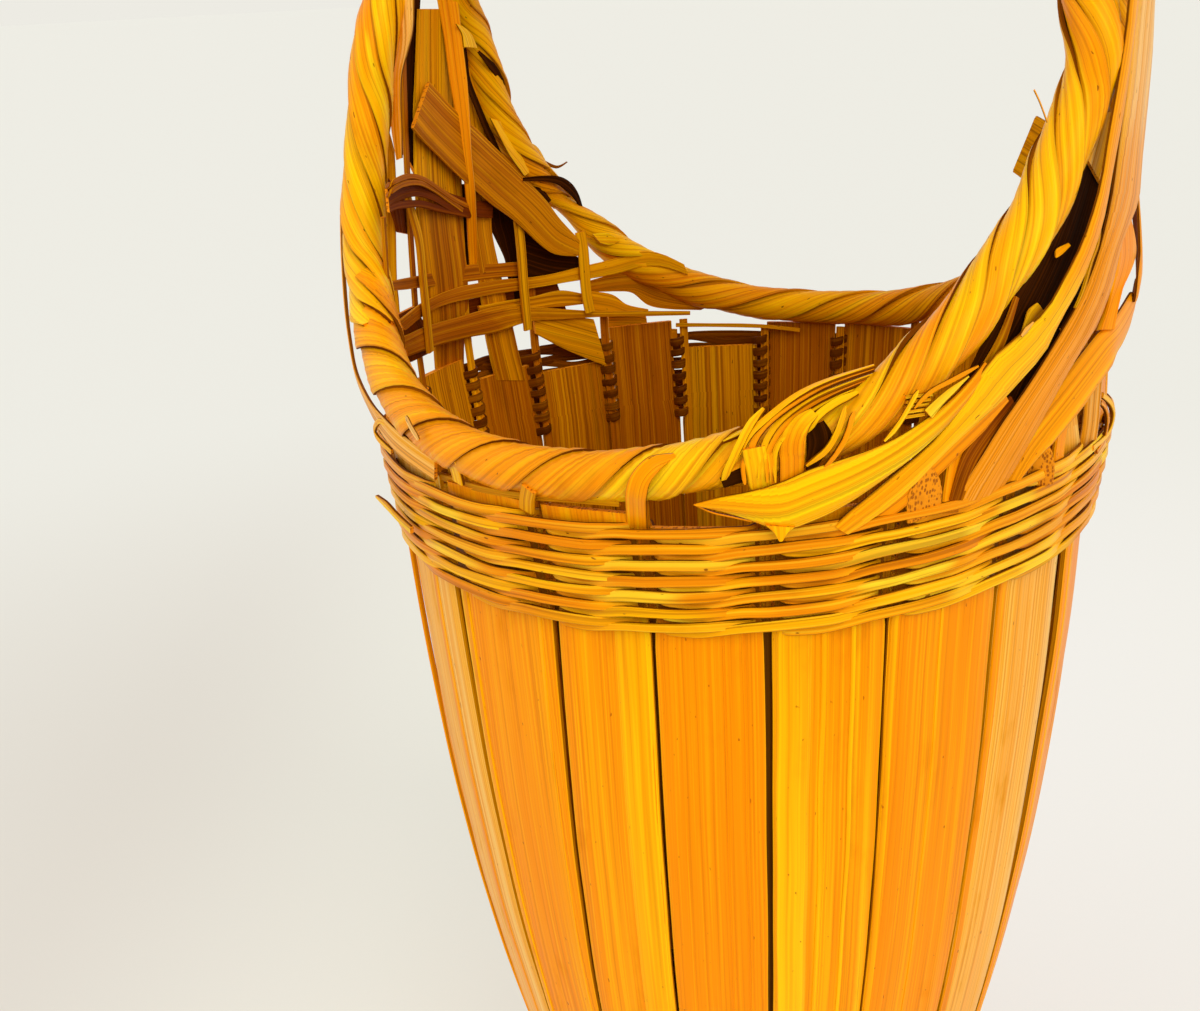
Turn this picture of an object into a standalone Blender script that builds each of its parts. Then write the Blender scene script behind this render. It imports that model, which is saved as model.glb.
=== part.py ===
"""A tall split-bamboo wine basket.

Twenty-one flat staves and as many thin stakes stand on a woven base and are held by two twined
bands. Two hoops, one in front and one behind, run along the mouth, rise at the sides and meet
overhead as the handle. Each hoop is a bare core wound with a flat splint. The handle's crown is
bound with one more splint, and loose splints brace the shoulders.

Frame: the origin is at the centre of the base's underside, +Z up, X along the handle's span and
the front of the basket towards -Y. Lengths are in metres.
"""

import math

import bmesh
import bpy
from mathutils import Vector

MM = 0.001

# Clearance between pieces that touch
FIT = 0.3 * MM

# Body of the basket, measured on the outer face of the staves
BASE_RADIUS = 45.0 * MM
WALL_RADIUS = 74.6 * MM
RIM_RADIUS = 78.0 * MM
WALL_HEIGHT = 172.6 * MM
BAND_HEIGHT = 22.4 * MM
WALL_SLOPE = 0.06
WALL_ROUNDING = 2.45
SHOULDER_LEAN = 3.5 * MM
SHOULDER_HEIGHT = 85.0 * MM
RIM_HEIGHT = WALL_HEIGHT + BAND_HEIGHT

# The rim dips by this much at the front and the back
RIM_DIP = 3.0 * MM

# Staves: hand-split, so each takes its own share of the way round, in order from the left front
STAVE_SHARES = (
    (1.26, 1.09, 0.93, 0.98, 1.02, 1.15, 1.17, 0.85)
    + (1.0,) * 5
    + (0.93, 1.02, 0.89)
    + (1.0,) * 5
)
FIRST_EDGE = math.radians(-140.5)
STAVE_THICKNESS = 1.4 * MM
STAVE_GAP = 1.2 * MM
STAVE_RISE = 2.0 * MM
STAVE_FOOT = 0.3 * MM
TONGUE_WIDTH = 14.0 * MM
TONGUE_TAPER = 8.0 * MM
TONGUE_REACH = 84.0 * MM
STAKE_REACH = 90.0 * MM
RISE_STEP = 0.5 * MM
SHOULDER_ARC = math.radians(27.0)
BODY_STEPS = 8

# Stakes, which stand behind the gaps between the staves
STAKE_WIDTH = 3.0 * MM
STAKE_THICKNESS = 1.0 * MM

# Twined bands: strands lie one above the other
STRAND_DEPTH = 2.0 * MM
STRAND_HOLLOW = 0.9 * MM
RIM_STRANDS = 7
FOOT_STRANDS = 4
FOOT_BAND_BOTTOM = 6.0 * MM
FOOT_BAND_HEIGHT = 13.0 * MM
BAND_SEGMENTS = 42

# Woven base
BASE_THICKNESS = 3.0 * MM
BASE_SEGMENTS = 42

# Hoops: the core, the splint wound on it, and the circle on which they lie along the rim
HOOP_RADIUS = 77.0 * MM
CORE_RADIUS = 3.1 * MM
CORE_SIDES_RESOLUTION = 2
WRAP_THICKNESS = 0.9 * MM
WRAP_TURNS = 24
WRAP_EDGE_GAP = 0.9 * MM
WRAP_STEPS = 10
HOOP_STEPS = 3
LEAST_SELF_GAP = 0.4 * MM

# The splint bridges the hoop's bends with short flats, which take this much more room
BEND_ROOM = 0.2 * MM
WRAP_INNER = (CORE_RADIUS + FIT) / math.cos(math.pi / WRAP_STEPS) + BEND_ROOM
ROLL_RADIUS = WRAP_INNER + WRAP_THICKNESS
ROLL_CLEARANCE = FIT + BEND_ROOM

# Handle arch: half an ellipse, springing from this height above the rim
ARCH_SPRING = 62.0 * MM
ARCH_RISE = 81.0 * MM
ARCH_HALF_SPAN = 75.0 * MM
LEG_HALF_GAP = 19.8 * MM
CROWN_HALF_GAP = 5.2 * MM
CROWN_START = 55.0
ARCH_DEGREES = (20.0, 35.0, 50.0, 65.0, 77.5, 90.0, 102.5, 115.0, 130.0, 145.0, 160.0)

# Each hoop along the rim from the left leg to the right leg: degrees round the basket, then
# height above the rim as a share of the shoulder's height, and distance outside the hoop circle
# as a share of its radius
FRONT_LINE = (
    (-165.0, 0.918, -0.013), (-165.2, 0.794, 0.014),
    (-164.5, 0.624, 0.044), (-162.1, 0.447, 0.057),
    (-157.9, 0.341, 0.036), (-148.7, 0.229, 0.012), (-136.0, 0.142, 0.000), (-121.0, 0.085, 0.000),
    (-107.0, 0.058, 0.000), (-92.0, 0.059, 0.000), (-78.0, 0.088, 0.000), (-65.0, 0.135, 0.000),
    (-53.2, 0.207, 0.000), (-40.6, 0.339, 0.000), (-32.5, 0.434, -0.009), (-25.8, 0.538, -0.013),
    (-20.8, 0.654, -0.012), (-16.5, 0.774, 0.004), (-15.0, 0.882, 0.008),
)
BACK_LINE = (
    (162.0, 0.918, -0.026), (159.8, 0.788, -0.032), (156.5, 0.665, -0.032), (150.0, 0.524, -0.026),
    (139.5, 0.386, -0.013), (130.0, 0.260, 0.000), (117.0, 0.124, 0.000), (103.0, 0.061, 0.000),
    (89.0, 0.047, 0.000), (74.0, 0.061, 0.000), (62.0, 0.112, 0.000), (50.0, 0.206, 0.000),
    (40.0, 0.329, 0.000), (31.0, 0.471, -0.013), (24.0, 0.612, -0.013), (19.0, 0.741, -0.006),
    (16.0, 0.871, 0.000),
)

# Binding round the handle's crown
BINDING_TURNS = 12
BINDING_THICKNESS = 0.9 * MM
BINDING_EDGE_GAP = 0.8 * MM
BINDING_END_STEPS = 7

# Lashing round the front roll
LASHING_TURNS = 2
LASHING_PITCH = 6.7 * MM
LASHING_WIDTH = 5.0 * MM
LASHING_THICKNESS = 0.7 * MM
LASHING_ANGLE = math.radians(-66.5)
LASHING_ZONE = math.radians(12.0)

# Flat splints laid over the right shoulder. For each, its width as a share of the usual one, the
# layer it lies in, where it runs on along the handle in degrees of the arch, and its route from
# the rim band up: degrees round the basket and height as a share of the shoulder's height
SPLINT_WIDTH = 9.0 * MM
SPLINT_THICKNESS = 0.8 * MM
SPLINT_LAYER = SPLINT_THICKNESS + FIT
SHOULDER_SPLINTS = (
    (1.0, 0.0, (), (
        (-76.0, 0.006), (-67.0, 0.000), (-57.0, 0.041), (-50.0, 0.094), (-44.0, 0.159),
        (-38.0, 0.241), (-34.0, 0.306),
    )),
    (0.89, 1.0, (), (
        (-60.0, -0.035), (-51.5, 0.035), (-42.5, 0.129), (-33.0, 0.241), (-26.0, 0.353),
        (-20.0, 0.476), (-15.0, 0.582), (-11.5, 0.706), (-9.5, 0.835),
    )),
    (1.06, 0.0, (22.0, 36.0, 50.0), (
        (-42.0, -0.012), (-38.5, 0.029), (-31.0, 0.129), (-22.5, 0.253), (-15.0, 0.365),
        (-8.5, 0.529), (-3.5, 0.682), (-0.5, 0.847),
    )),
    (0.94, 1.0, (), (
        (-25.0, 0.082), (-18.5, 0.141), (-9.0, 0.194), (0.0, 0.282), (8.0, 0.412),
        (13.0, 0.553), (15.0, 0.682),
    )),
)
SPLINT_OUTSET = 5.3 * MM
SPLINT_STEPS = 3

# Straps woven across the left shoulder: height as a share of the shoulder's height, then the two
# ends in degrees
STRAP_WIDTH = 5.0 * MM
STRAP_THICKNESS = 0.9 * MM
LEFT_STRAPS = ((0.306, -168.0, 143.0), (0.212, -160.0, 136.0), (0.118, -149.0, 128.0))
STRAP_STEPS = 12

# Slanting brace inside the left shoulder: its two ends, in degrees and as a share of the
# shoulder's height
BRACE_WIDTH = 9.0 * MM
BRACE_THICKNESS = 1.0 * MM
BRACE_ENDS = ((179.5, 0.753), (143.0, 0.235))
BRACE_STEPS = 8

# Colours, roughness
STAVE_LOOK = ((0.83, 0.38, 0.04), 0.38)
STAKE_LOOK = ((0.62, 0.27, 0.04), 0.5)
STRAND_LOOK = ((0.85, 0.45, 0.06), 0.36)
SPLINT_LOOK = ((0.88, 0.46, 0.05), 0.32)
CORE_LOOK = ((0.55, 0.25, 0.05), 0.6)


def clear_scene():
    for obj in list(bpy.data.objects):
        bpy.data.objects.remove(obj, do_unlink=True)


def material(name, look):
    colour, roughness = look
    finish = bpy.data.materials.new(name)
    finish.use_nodes = True
    shader = finish.node_tree.nodes["Principled BSDF"]
    shader.inputs["Base Color"].default_value = (*colour, 1.0)
    shader.inputs["Roughness"].default_value = roughness
    shader.inputs["Metallic"].default_value = 0.0
    return finish


def around(angle, radius, height):
    """A point at an angle round the basket's axis."""
    return Vector((radius * math.cos(angle), radius * math.sin(angle), height))


def loft(name, rings, look, closed=False, smooth_angle=40.0):
    """One solid through a row of rings of points, with flat ends unless it closes on itself."""
    mesh = bmesh.new()
    rows = [[mesh.verts.new(point) for point in ring] for ring in rings]
    count = len(rows[0])
    pairs = list(zip(rows, rows[1:]))
    if closed:
        pairs.append((rows[-1], rows[0]))
    for low, high in pairs:
        for i in range(count):
            j = (i + 1) % count
            mesh.faces.new((low[i], low[j], high[j], high[i]))
    if not closed:
        mesh.faces.new(list(reversed(rows[0])))
        mesh.faces.new(rows[-1])
    bmesh.ops.recalc_face_normals(mesh, faces=mesh.faces)
    data = bpy.data.meshes.new(name)
    mesh.to_mesh(data)
    mesh.free()
    data.shade_smooth()
    data.set_sharp_from_angle(angle=math.radians(smooth_angle))
    data.materials.append(material(name, look))
    obj = bpy.data.objects.new(name, data)
    bpy.context.collection.objects.link(obj)
    return obj


# Shape of the body
def wall_radius(height):
    """Radius of the staves' outer face at a height above the base."""
    if height <= WALL_HEIGHT:
        rounding = WALL_RADIUS - BASE_RADIUS - WALL_SLOPE * WALL_HEIGHT
        share = 1.0 - (1.0 - height / WALL_HEIGHT) ** WALL_ROUNDING
        return BASE_RADIUS + WALL_SLOPE * height + rounding * share
    if height <= RIM_HEIGHT:
        share = (height - WALL_HEIGHT) / BAND_HEIGHT
        return WALL_RADIUS + (RIM_RADIUS - WALL_RADIUS) * share
    return RIM_RADIUS - SHOULDER_LEAN * ((height - RIM_HEIGHT) / SHOULDER_HEIGHT) ** 2


def rim_height(angle):
    """Height of the rim band's upper edge, which dips at the front and the back."""
    return RIM_HEIGHT - RIM_DIP * math.sin(angle) ** 2


def stave_edges():
    """The angle of each gap between two staves, in order round the basket."""
    turn = 2 * math.pi / sum(STAVE_SHARES)
    edges = [FIRST_EDGE]
    for share in STAVE_SHARES:
        edges.append(edges[-1] + share * turn)
    return edges


# Hoops
def hoop_line(line, side):
    """The points that one hoop runs through: over the handle, then along the rim."""
    points = []
    for degrees in ARCH_DEGREES:
        turn = math.radians(degrees)
        from_foot = min(degrees, 180.0 - degrees)
        spread = math.cos(math.radians(90.0 * min(from_foot / CROWN_START, 1.0))) ** 2
        depth = CROWN_HALF_GAP + (LEG_HALF_GAP - CROWN_HALF_GAP) * spread
        height = RIM_HEIGHT + ARCH_SPRING + ARCH_RISE * math.sin(turn)
        points.append(Vector((ARCH_HALF_SPAN * math.cos(turn), side * depth, height)))
    for degrees, rise, outset in line:
        radius = HOOP_RADIUS * (1.0 + outset)
        points.append(around(math.radians(degrees), radius, RIM_HEIGHT + rise * SHOULDER_HEIGHT))
    return points


def smooth_through(points, steps, closed):
    """Points along a smooth curve through the given points."""
    count = len(points)
    result = []
    for i in range(count if closed else count - 1):
        if closed:
            a, b, c, d = (points[(i + k) % count] for k in (-1, 0, 1, 2))
        else:
            a, b, c, d = (points[min(max(i + k, 0), count - 1)] for k in (-1, 0, 1, 2))
        for step in range(steps):
            t = step / steps
            part = 2 * b + (c - a) * t + (2 * a - 5 * b + 4 * c - d) * t * t
            result.append((part + (3 * b - a - 3 * c + d) * t ** 3) / 2)
    if not closed:
        result.append(points[-1].copy())
    return result


class Route:
    """A curve with the distance along it and a frame that turns with it without twisting."""

    def __init__(self, points):
        self.points = points
        self.distances = [0.0]
        for a, b in zip(points, points[1:]):
            self.distances.append(self.distances[-1] + (b - a).length)
        self.length = self.distances[-1]
        self.normals = self._normals()

    def _tangent(self, i):
        low, high = max(i - 1, 0), min(i + 1, len(self.points) - 1)
        return (self.points[high] - self.points[low]).normalized()

    def _normals(self):
        normal = Vector((0.0, 1.0, 0.0))
        normals = []
        for i in range(len(self.points)):
            tangent = self._tangent(i)
            normal = (normal - normal.dot(tangent) * tangent).normalized()
            normals.append(normal)
        return normals

    def frame(self, distance):
        """The point, tangent and two cross directions at a distance along the curve."""
        distance = min(max(distance, 0.0), self.length)
        i = 0
        while i < len(self.points) - 2 and self.distances[i + 1] < distance:
            i += 1
        share = (distance - self.distances[i]) / (self.distances[i + 1] - self.distances[i])
        point = self.points[i].lerp(self.points[i + 1], share)
        tangent = self._tangent(i).lerp(self._tangent(i + 1), share).normalized()
        normal = self.normals[i].lerp(self.normals[i + 1], share)
        normal = (normal - normal.dot(tangent) * tangent).normalized()
        return point, tangent, normal, tangent.cross(normal)

    def round_point(self, distance, turn, radius):
        """A point on the tube of this radius round the curve."""
        point, _, normal, side = self.frame(distance)
        return point + radius * (math.cos(turn) * normal + math.sin(turn) * side)


def hoop_core(name, points):
    """The bare rod inside a hoop, a closed tube."""
    curve = bpy.data.curves.new(name, "CURVE")
    curve.dimensions = "3D"
    curve.bevel_depth = CORE_RADIUS
    curve.bevel_resolution = CORE_SIDES_RESOLUTION
    curve.use_fill_caps = True
    spline = curve.splines.new("POLY")
    spline.points.add(len(points) - 1)
    for slot, point in zip(spline.points, points):
        slot.co = (*point, 1.0)
    spline.use_cyclic_u = True
    curve.materials.append(material(name, CORE_LOOK))
    obj = bpy.data.objects.new(name, curve)
    bpy.context.collection.objects.link(obj)
    return obj


def wound_rings(route, start, turns, pitch, width, inner, thickness, steps):
    """The cross-sections of a flat splint wound round a route."""
    rings = []
    for i in range(turns * steps + 1):
        middle = start + pitch * i / steps
        turn = -2 * math.pi * i / steps
        across = (middle - width / 2, middle, middle + width / 2)
        ring = [route.round_point(place, turn, inner) for place in across]
        ring += [route.round_point(place, turn, inner + thickness) for place in reversed(across)]
        rings.append(ring)
    return rings


def least_gap(rings, steps):
    """The least distance between one turn's trailing edge and the next turn's leading edge."""
    gap = math.inf
    for ring, later in zip(rings, rings[steps:]):
        half = len(ring) // 2
        for edge, other in ((half - 1, 0), (half, -1)):
            gap = min(gap, (ring[edge] - later[other]).length)
    return gap


def report_gap(name, rings, steps):
    gap = least_gap(rings, steps)
    wanted = LEAST_SELF_GAP / MM
    print(f"{name}: least gap to itself {gap / MM:.2f} mm, over {wanted:.1f} mm wanted")


def wrapped_route(points, line_length):
    """The stretch of a hoop that the splint covers, from the left of the crown to the right."""
    left = [i for i, degrees in enumerate(ARCH_DEGREES) if degrees >= 180.0 - CROWN_START]
    right = [i for i, degrees in enumerate(ARCH_DEGREES) if degrees <= CROWN_START]
    start = left[0] * HOOP_STEPS
    end = (len(ARCH_DEGREES) + line_length + right[-1]) * HOOP_STEPS
    count = len(points)
    return Route([points[i % count] for i in range(start, end + 1)])


def hoop_wrap(name, route):
    pitch = route.length / (WRAP_TURNS + 1)
    width = pitch - WRAP_EDGE_GAP
    rings = wound_rings(
        route, pitch / 2, WRAP_TURNS, pitch, width, WRAP_INNER, WRAP_THICKNESS, WRAP_STEPS
    )
    report_gap(name, rings, WRAP_STEPS)
    return loft(name, rings, SPLINT_LOOK)


def crown_section(grow):
    """The outline round the two cores at the crown: two half rounds joined by straight runs."""
    radius = (CORE_RADIUS + FIT) / math.cos(math.pi / BINDING_END_STEPS / 2) + grow
    outline = []
    for side, first in ((1, -90.0), (-1, 90.0)):
        for step in range(BINDING_END_STEPS + 1):
            turn = math.radians(first + 180.0 * step / BINDING_END_STEPS)
            across = side * CROWN_HALF_GAP + radius * math.cos(turn)
            outline.append((across, radius * math.sin(turn)))
    return outline


def crown_point(degrees, across, out):
    """A point beside the middle line of the handle's crown."""
    turn = math.radians(degrees)
    point = Vector((ARCH_HALF_SPAN * math.cos(turn), 0.0, ARCH_RISE * math.sin(turn)))
    outward = Vector((math.cos(turn) / ARCH_HALF_SPAN, 0.0, math.sin(turn) / ARCH_RISE))
    point += outward.normalized() * out
    return point + Vector((0.0, across, RIM_HEIGHT + ARCH_SPRING))


def handle_binding(name):
    """One splint wound round both hoops along the handle's crown."""
    inner, outer = crown_section(0.0), crown_section(BINDING_THICKNESS)
    steps = len(inner)
    start = CROWN_START + BINDING_EDGE_GAP / ARCH_HALF_SPAN
    pitch = (180.0 - 2 * start) / (BINDING_TURNS + 1)
    width = pitch - math.degrees(BINDING_EDGE_GAP / ARCH_HALF_SPAN)
    rings = []
    for i in range(BINDING_TURNS * steps + 1):
        middle = start + pitch / 2 + pitch * i / steps
        low, high = middle - width / 2, middle + width / 2
        near, far = inner[i % steps], outer[i % steps]
        rings.append([
            crown_point(low, *near), crown_point(high, *near),
            crown_point(high, *far), crown_point(low, *far),
        ])
    report_gap(name, rings, steps)
    return loft(name, rings, SPLINT_LOOK)


def front_lashing(name, route):
    """A narrow splint tied round the front roll."""
    inner = (ROLL_RADIUS + ROLL_CLEARANCE) / math.cos(math.pi / WRAP_STEPS)
    spans = [abs(math.atan2(point.y, point.x) - LASHING_ANGLE) for point in route.points]
    middle = route.distances[spans.index(min(spans))]
    start = middle - LASHING_PITCH * LASHING_TURNS / 2
    rings = wound_rings(
        route, start, LASHING_TURNS, LASHING_PITCH, LASHING_WIDTH, inner, LASHING_THICKNESS,
        WRAP_STEPS,
    )
    report_gap(name, rings, WRAP_STEPS)
    return loft(name, rings, SPLINT_LOOK)


def near_lashing(angle):
    return abs(angle - LASHING_ANGLE) < LASHING_ZONE


def rise_to_roll(angle, inset, width, thickness, reach, hoops):
    """The highest point to which an upright piece can rise before it meets a roll."""
    lashed = LASHING_THICKNESS + 3 * FIT if near_lashing(angle) else 0.0
    clear = ROLL_RADIUS + ROLL_CLEARANCE + lashed + thickness / 2
    height = rim_height(angle)
    while height + RISE_STEP <= RIM_HEIGHT + reach:
        radius = wall_radius(height + RISE_STEP) - inset - thickness / 2
        for offset in (-width / 2, 0.0, width / 2):
            point = around(angle + offset / radius, radius, height + RISE_STEP)
            if any((point - near).length < clear for near in hoops):
                return height
        height += RISE_STEP
    return RIM_HEIGHT + reach


# Uprights
def stave_rings(middle, half_turn, heights, half_width_at):
    """Cross-sections of one stave: three columns on its outer face and three on its inner."""
    rings = []
    for height in heights:
        outer = wall_radius(height)
        half = min(half_turn - STAVE_GAP / 2 / outer, half_width_at(height) / outer)
        turns = (middle - half, middle, middle + half)
        ring = [around(turn, outer, height) for turn in turns]
        ring += [around(turn, outer - STAVE_THICKNESS, height) for turn in reversed(turns)]
        rings.append(ring)
    return rings


def wall_steps():
    """Evenly spaced heights up the body, from the foot of an upright to the rim band."""
    rise = (WALL_HEIGHT - STAVE_FOOT) / BODY_STEPS
    return [STAVE_FOOT + rise * i for i in range(BODY_STEPS + 1)]


def off_side(angle):
    """The angle between a direction and the nearer end of the handle's span."""
    return math.atan2(abs(math.sin(angle)), abs(math.cos(angle)))


def stave(name, low_edge, high_edge, hoops):
    """One flat upright. Those at the shoulders rise on as a narrow tongue towards the handle."""
    middle, half_turn = (low_edge + high_edge) / 2, (high_edge - low_edge) / 2
    rim = rim_height(middle) + STAVE_RISE
    heights = wall_steps() + [rim_height(middle), rim]
    if off_side(middle) <= SHOULDER_ARC:
        top = rise_to_roll(middle, 0.0, TONGUE_WIDTH, STAVE_THICKNESS, TONGUE_REACH, hoops)
        shoulder = rim + TONGUE_TAPER
        heights += [shoulder] + [shoulder + (top - shoulder) * i / 3 for i in (1, 2, 3)]

    def half_width_at(height):
        return RIM_RADIUS if height <= rim else TONGUE_WIDTH / 2

    return loft(name, stave_rings(middle, half_turn, heights, half_width_at), STAVE_LOOK)


def stake(name, angle, hoops):
    """One thin upright behind the gap between two staves, as tall as the roll above allows."""
    inset = STAVE_THICKNESS + FIT
    top = rise_to_roll(angle, inset, STAKE_WIDTH, STAKE_THICKNESS, STAKE_REACH, hoops)
    rim = rim_height(angle)
    heights = wall_steps() + [rim] + [rim + (top - rim) * i / 3 for i in (1, 2, 3)]
    rings = []
    for height in heights:
        outer = wall_radius(height) - inset
        half = STAKE_WIDTH / 2 / outer
        rings.append([
            around(angle - half, outer, height), around(angle + half, outer, height),
            around(angle + half, outer - STAKE_THICKNESS, height),
            around(angle - half, outer - STAKE_THICKNESS, height),
        ])
    return loft(name, rings, STAKE_LOOK)


# Rings
def twined_band(name, bottom_at, height, strands):
    """Strands stacked round the staves, as one ribbed ring."""
    facet = 1.0 / math.cos(math.pi / BAND_SEGMENTS)
    rings = []
    for i in range(BAND_SEGMENTS):
        angle = 2 * math.pi * i / BAND_SEGMENTS
        low = bottom_at(angle)
        pitch = height / strands

        def ring_point(rise, depth, angle=angle, low=low):
            level = low + rise
            return around(angle, (wall_radius(level) + FIT + depth) * facet, level)

        ring = [ring_point(height, 0.0), ring_point(0.0, 0.0)]
        for strand in range(strands):
            ring.append(ring_point(pitch * strand, STRAND_HOLLOW))
            ring.append(ring_point(pitch * (strand + 0.5), STRAND_DEPTH))
        ring.append(ring_point(height, STRAND_HOLLOW))
        rings.append(ring)
    return loft(name, rings, STRAND_LOOK, closed=True)


def woven_base(name):
    """The floor of the basket, which stands on the table."""
    radius = BASE_RADIUS - STAVE_THICKNESS - STAKE_THICKNESS - 2 * FIT
    mesh = bmesh.new()
    bmesh.ops.create_cone(
        mesh, cap_ends=True, segments=BASE_SEGMENTS, radius1=radius, radius2=radius,
        depth=BASE_THICKNESS,
    )
    data = bpy.data.meshes.new(name)
    mesh.to_mesh(data)
    mesh.free()
    data.materials.append(material(name, STAKE_LOOK))
    obj = bpy.data.objects.new(name, data)
    obj.location = (0.0, 0.0, BASE_THICKNESS / 2)
    bpy.context.collection.objects.link(obj)
    return obj


# Flat strips laid on the shoulders
def strip(name, points, width, thickness, look):
    """A flat strip along a curve, its face turned away from the basket's axis."""
    route = Route(points)
    rings = []
    for i, point in enumerate(points):
        tangent = route.frame(route.distances[i])[1]
        radial = Vector((point.x, point.y, 0.0))
        outward = (radial - radial.dot(tangent) * tangent).normalized()
        across = tangent.cross(outward) * width / 2
        lift = outward * thickness / 2
        rings.append([
            point - across - lift, point + across - lift,
            point + across + lift, point - across + lift,
        ])
    return loft(name, rings, look)


def shoulder_splint(name, width, layer, arch_degrees, line):
    """One splint swept over the right shoulder from the rim band towards the handle."""
    radius = HOOP_RADIUS + SPLINT_OUTSET + layer * SPLINT_LAYER
    points = [
        around(math.radians(degrees), radius, RIM_HEIGHT + rise * SHOULDER_HEIGHT)
        for degrees, rise in line
    ]
    points += [crown_point(degrees, 0.0, SPLINT_OUTSET) for degrees in arch_degrees]
    route = smooth_through(points, SPLINT_STEPS, closed=False)
    return strip(name, route, width * SPLINT_WIDTH, SPLINT_THICKNESS, SPLINT_LOOK)


def left_strap(name, rise, first, last):
    """One strap across the left shoulder, outside the staves' tongues."""
    start, end = math.radians(first % 360.0), math.radians(last)
    points = []
    for i in range(STRAP_STEPS + 1):
        angle = start + (end - start) * i / STRAP_STEPS
        height = RIM_HEIGHT + rise * SHOULDER_HEIGHT
        facet = 1.0 / math.cos((start - end) / STRAP_STEPS / 2)
        radius = (wall_radius(height - STRAP_WIDTH / 2) + FIT) * facet + STRAP_THICKNESS / 2
        points.append(around(angle, radius, height))
    return strip(name, points, STRAP_WIDTH, STRAP_THICKNESS, SPLINT_LOOK)


def shoulder_brace(name):
    """A wide splint slanting across the inside of the left shoulder."""
    inset = STAVE_THICKNESS + STAKE_THICKNESS + 3 * FIT + BRACE_THICKNESS / 2
    (first, high), (last, low) = BRACE_ENDS
    points = []
    for i in range(BRACE_STEPS + 1):
        share = i / BRACE_STEPS
        height = RIM_HEIGHT + (high + (low - high) * share) * SHOULDER_HEIGHT
        angle = math.radians(first + (last - first) * share)
        points.append(around(angle, wall_radius(height + BRACE_WIDTH / 2) - inset, height))
    return strip(name, points, BRACE_WIDTH, BRACE_THICKNESS, STAVE_LOOK)


def main():
    clear_scene()
    front = smooth_through(hoop_line(FRONT_LINE, -1), HOOP_STEPS, closed=True)
    back = smooth_through(hoop_line(BACK_LINE, 1), HOOP_STEPS, closed=True)
    hoops = smooth_through(hoop_line(FRONT_LINE, -1), 3 * HOOP_STEPS, closed=True)
    hoops += smooth_through(hoop_line(BACK_LINE, 1), 3 * HOOP_STEPS, closed=True)

    edges = stave_edges()
    for i, (low, high) in enumerate(zip(edges, edges[1:]), start=1):
        stave(f"stave_{i:02d}", low, high, hoops)
        stake(f"stake_{i:02d}", low, hoops)

    woven_base("woven_base")
    twined_band(
        "rim_band", lambda angle: rim_height(angle) - BAND_HEIGHT, BAND_HEIGHT, RIM_STRANDS
    )
    twined_band("foot_band", lambda angle: FOOT_BAND_BOTTOM, FOOT_BAND_HEIGHT, FOOT_STRANDS)

    front_route = wrapped_route(front, len(FRONT_LINE))
    back_route = wrapped_route(back, len(BACK_LINE))
    hoop_core("front_hoop_core", front)
    hoop_core("back_hoop_core", back)
    hoop_wrap("front_hoop_wrap", front_route)
    hoop_wrap("back_hoop_wrap", back_route)
    handle_binding("handle_binding")
    front_lashing("front_lashing", front_route)

    for i, (width, layer, arch, line) in enumerate(SHOULDER_SPLINTS, start=1):
        shoulder_splint(f"shoulder_splint_{i}", width, layer, arch, line)
    for i, (rise, first, last) in enumerate(LEFT_STRAPS, start=1):
        left_strap(f"left_strap_{i}", rise, first, last)
    shoulder_brace("shoulder_brace")


main()
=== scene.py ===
"""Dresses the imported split-bamboo wine basket and sets it up for its portrait.

Every piece is a strip of split bamboo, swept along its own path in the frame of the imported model:
metres, origin at the centre of the base's underside, +Z up, the handle's span along X and the
front towards -Y. Heights that are given from the rim are measured from the top of the rim band.
"""

import logging
import math
import random
from bisect import bisect_right
from dataclasses import dataclass
from enum import Enum
from functools import partial
from typing import Callable, ClassVar, Sequence

import bmesh
import bpy
from mathutils import Matrix, Vector, noise


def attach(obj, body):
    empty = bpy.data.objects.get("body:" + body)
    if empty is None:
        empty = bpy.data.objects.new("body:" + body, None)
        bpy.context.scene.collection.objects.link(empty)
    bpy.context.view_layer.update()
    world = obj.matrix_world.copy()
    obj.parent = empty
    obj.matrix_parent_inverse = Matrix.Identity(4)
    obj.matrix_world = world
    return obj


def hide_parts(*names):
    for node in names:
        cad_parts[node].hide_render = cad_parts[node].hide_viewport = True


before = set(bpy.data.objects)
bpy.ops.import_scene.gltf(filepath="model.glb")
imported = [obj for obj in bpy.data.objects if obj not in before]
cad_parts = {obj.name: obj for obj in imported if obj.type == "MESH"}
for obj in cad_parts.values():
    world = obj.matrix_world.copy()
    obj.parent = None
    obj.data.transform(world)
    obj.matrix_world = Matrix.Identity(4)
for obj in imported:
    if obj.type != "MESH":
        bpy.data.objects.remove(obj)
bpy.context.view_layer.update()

LOG = logging.getLogger("basket")

Colour = tuple[float, float, float]
Paint = tuple[float, float, float, float]
Place = tuple[float, float, float]
Row = tuple[float, ...]
Profile = Sequence[tuple[float, float]]
Tone = float | Profile
Reach = float | Sequence[float]
Facing = Callable[[Vector], Vector]
Socket = bpy.types.NodeSocket

MM = 0.001
UP = Vector((0.0, 0.0, 1.0))

# Irregularities: how far apart in the noise two seeds run, where the first one runs, and how many
# waves a metre of strip has in its edges and in its face
SEED_STEP = (7.31, 1.93)
SEED_START = (0.17, -2.4)
LAID_WAVES = (90.0, 40.0)
SPANNED_WAVES = (110.0, 60.0)
# The half width from which an edge strays in full, and a face's unevenness in millimetres
FULL_STRAY_HALF = 2 * MM
FACE_RIPPLE = 0.12

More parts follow.
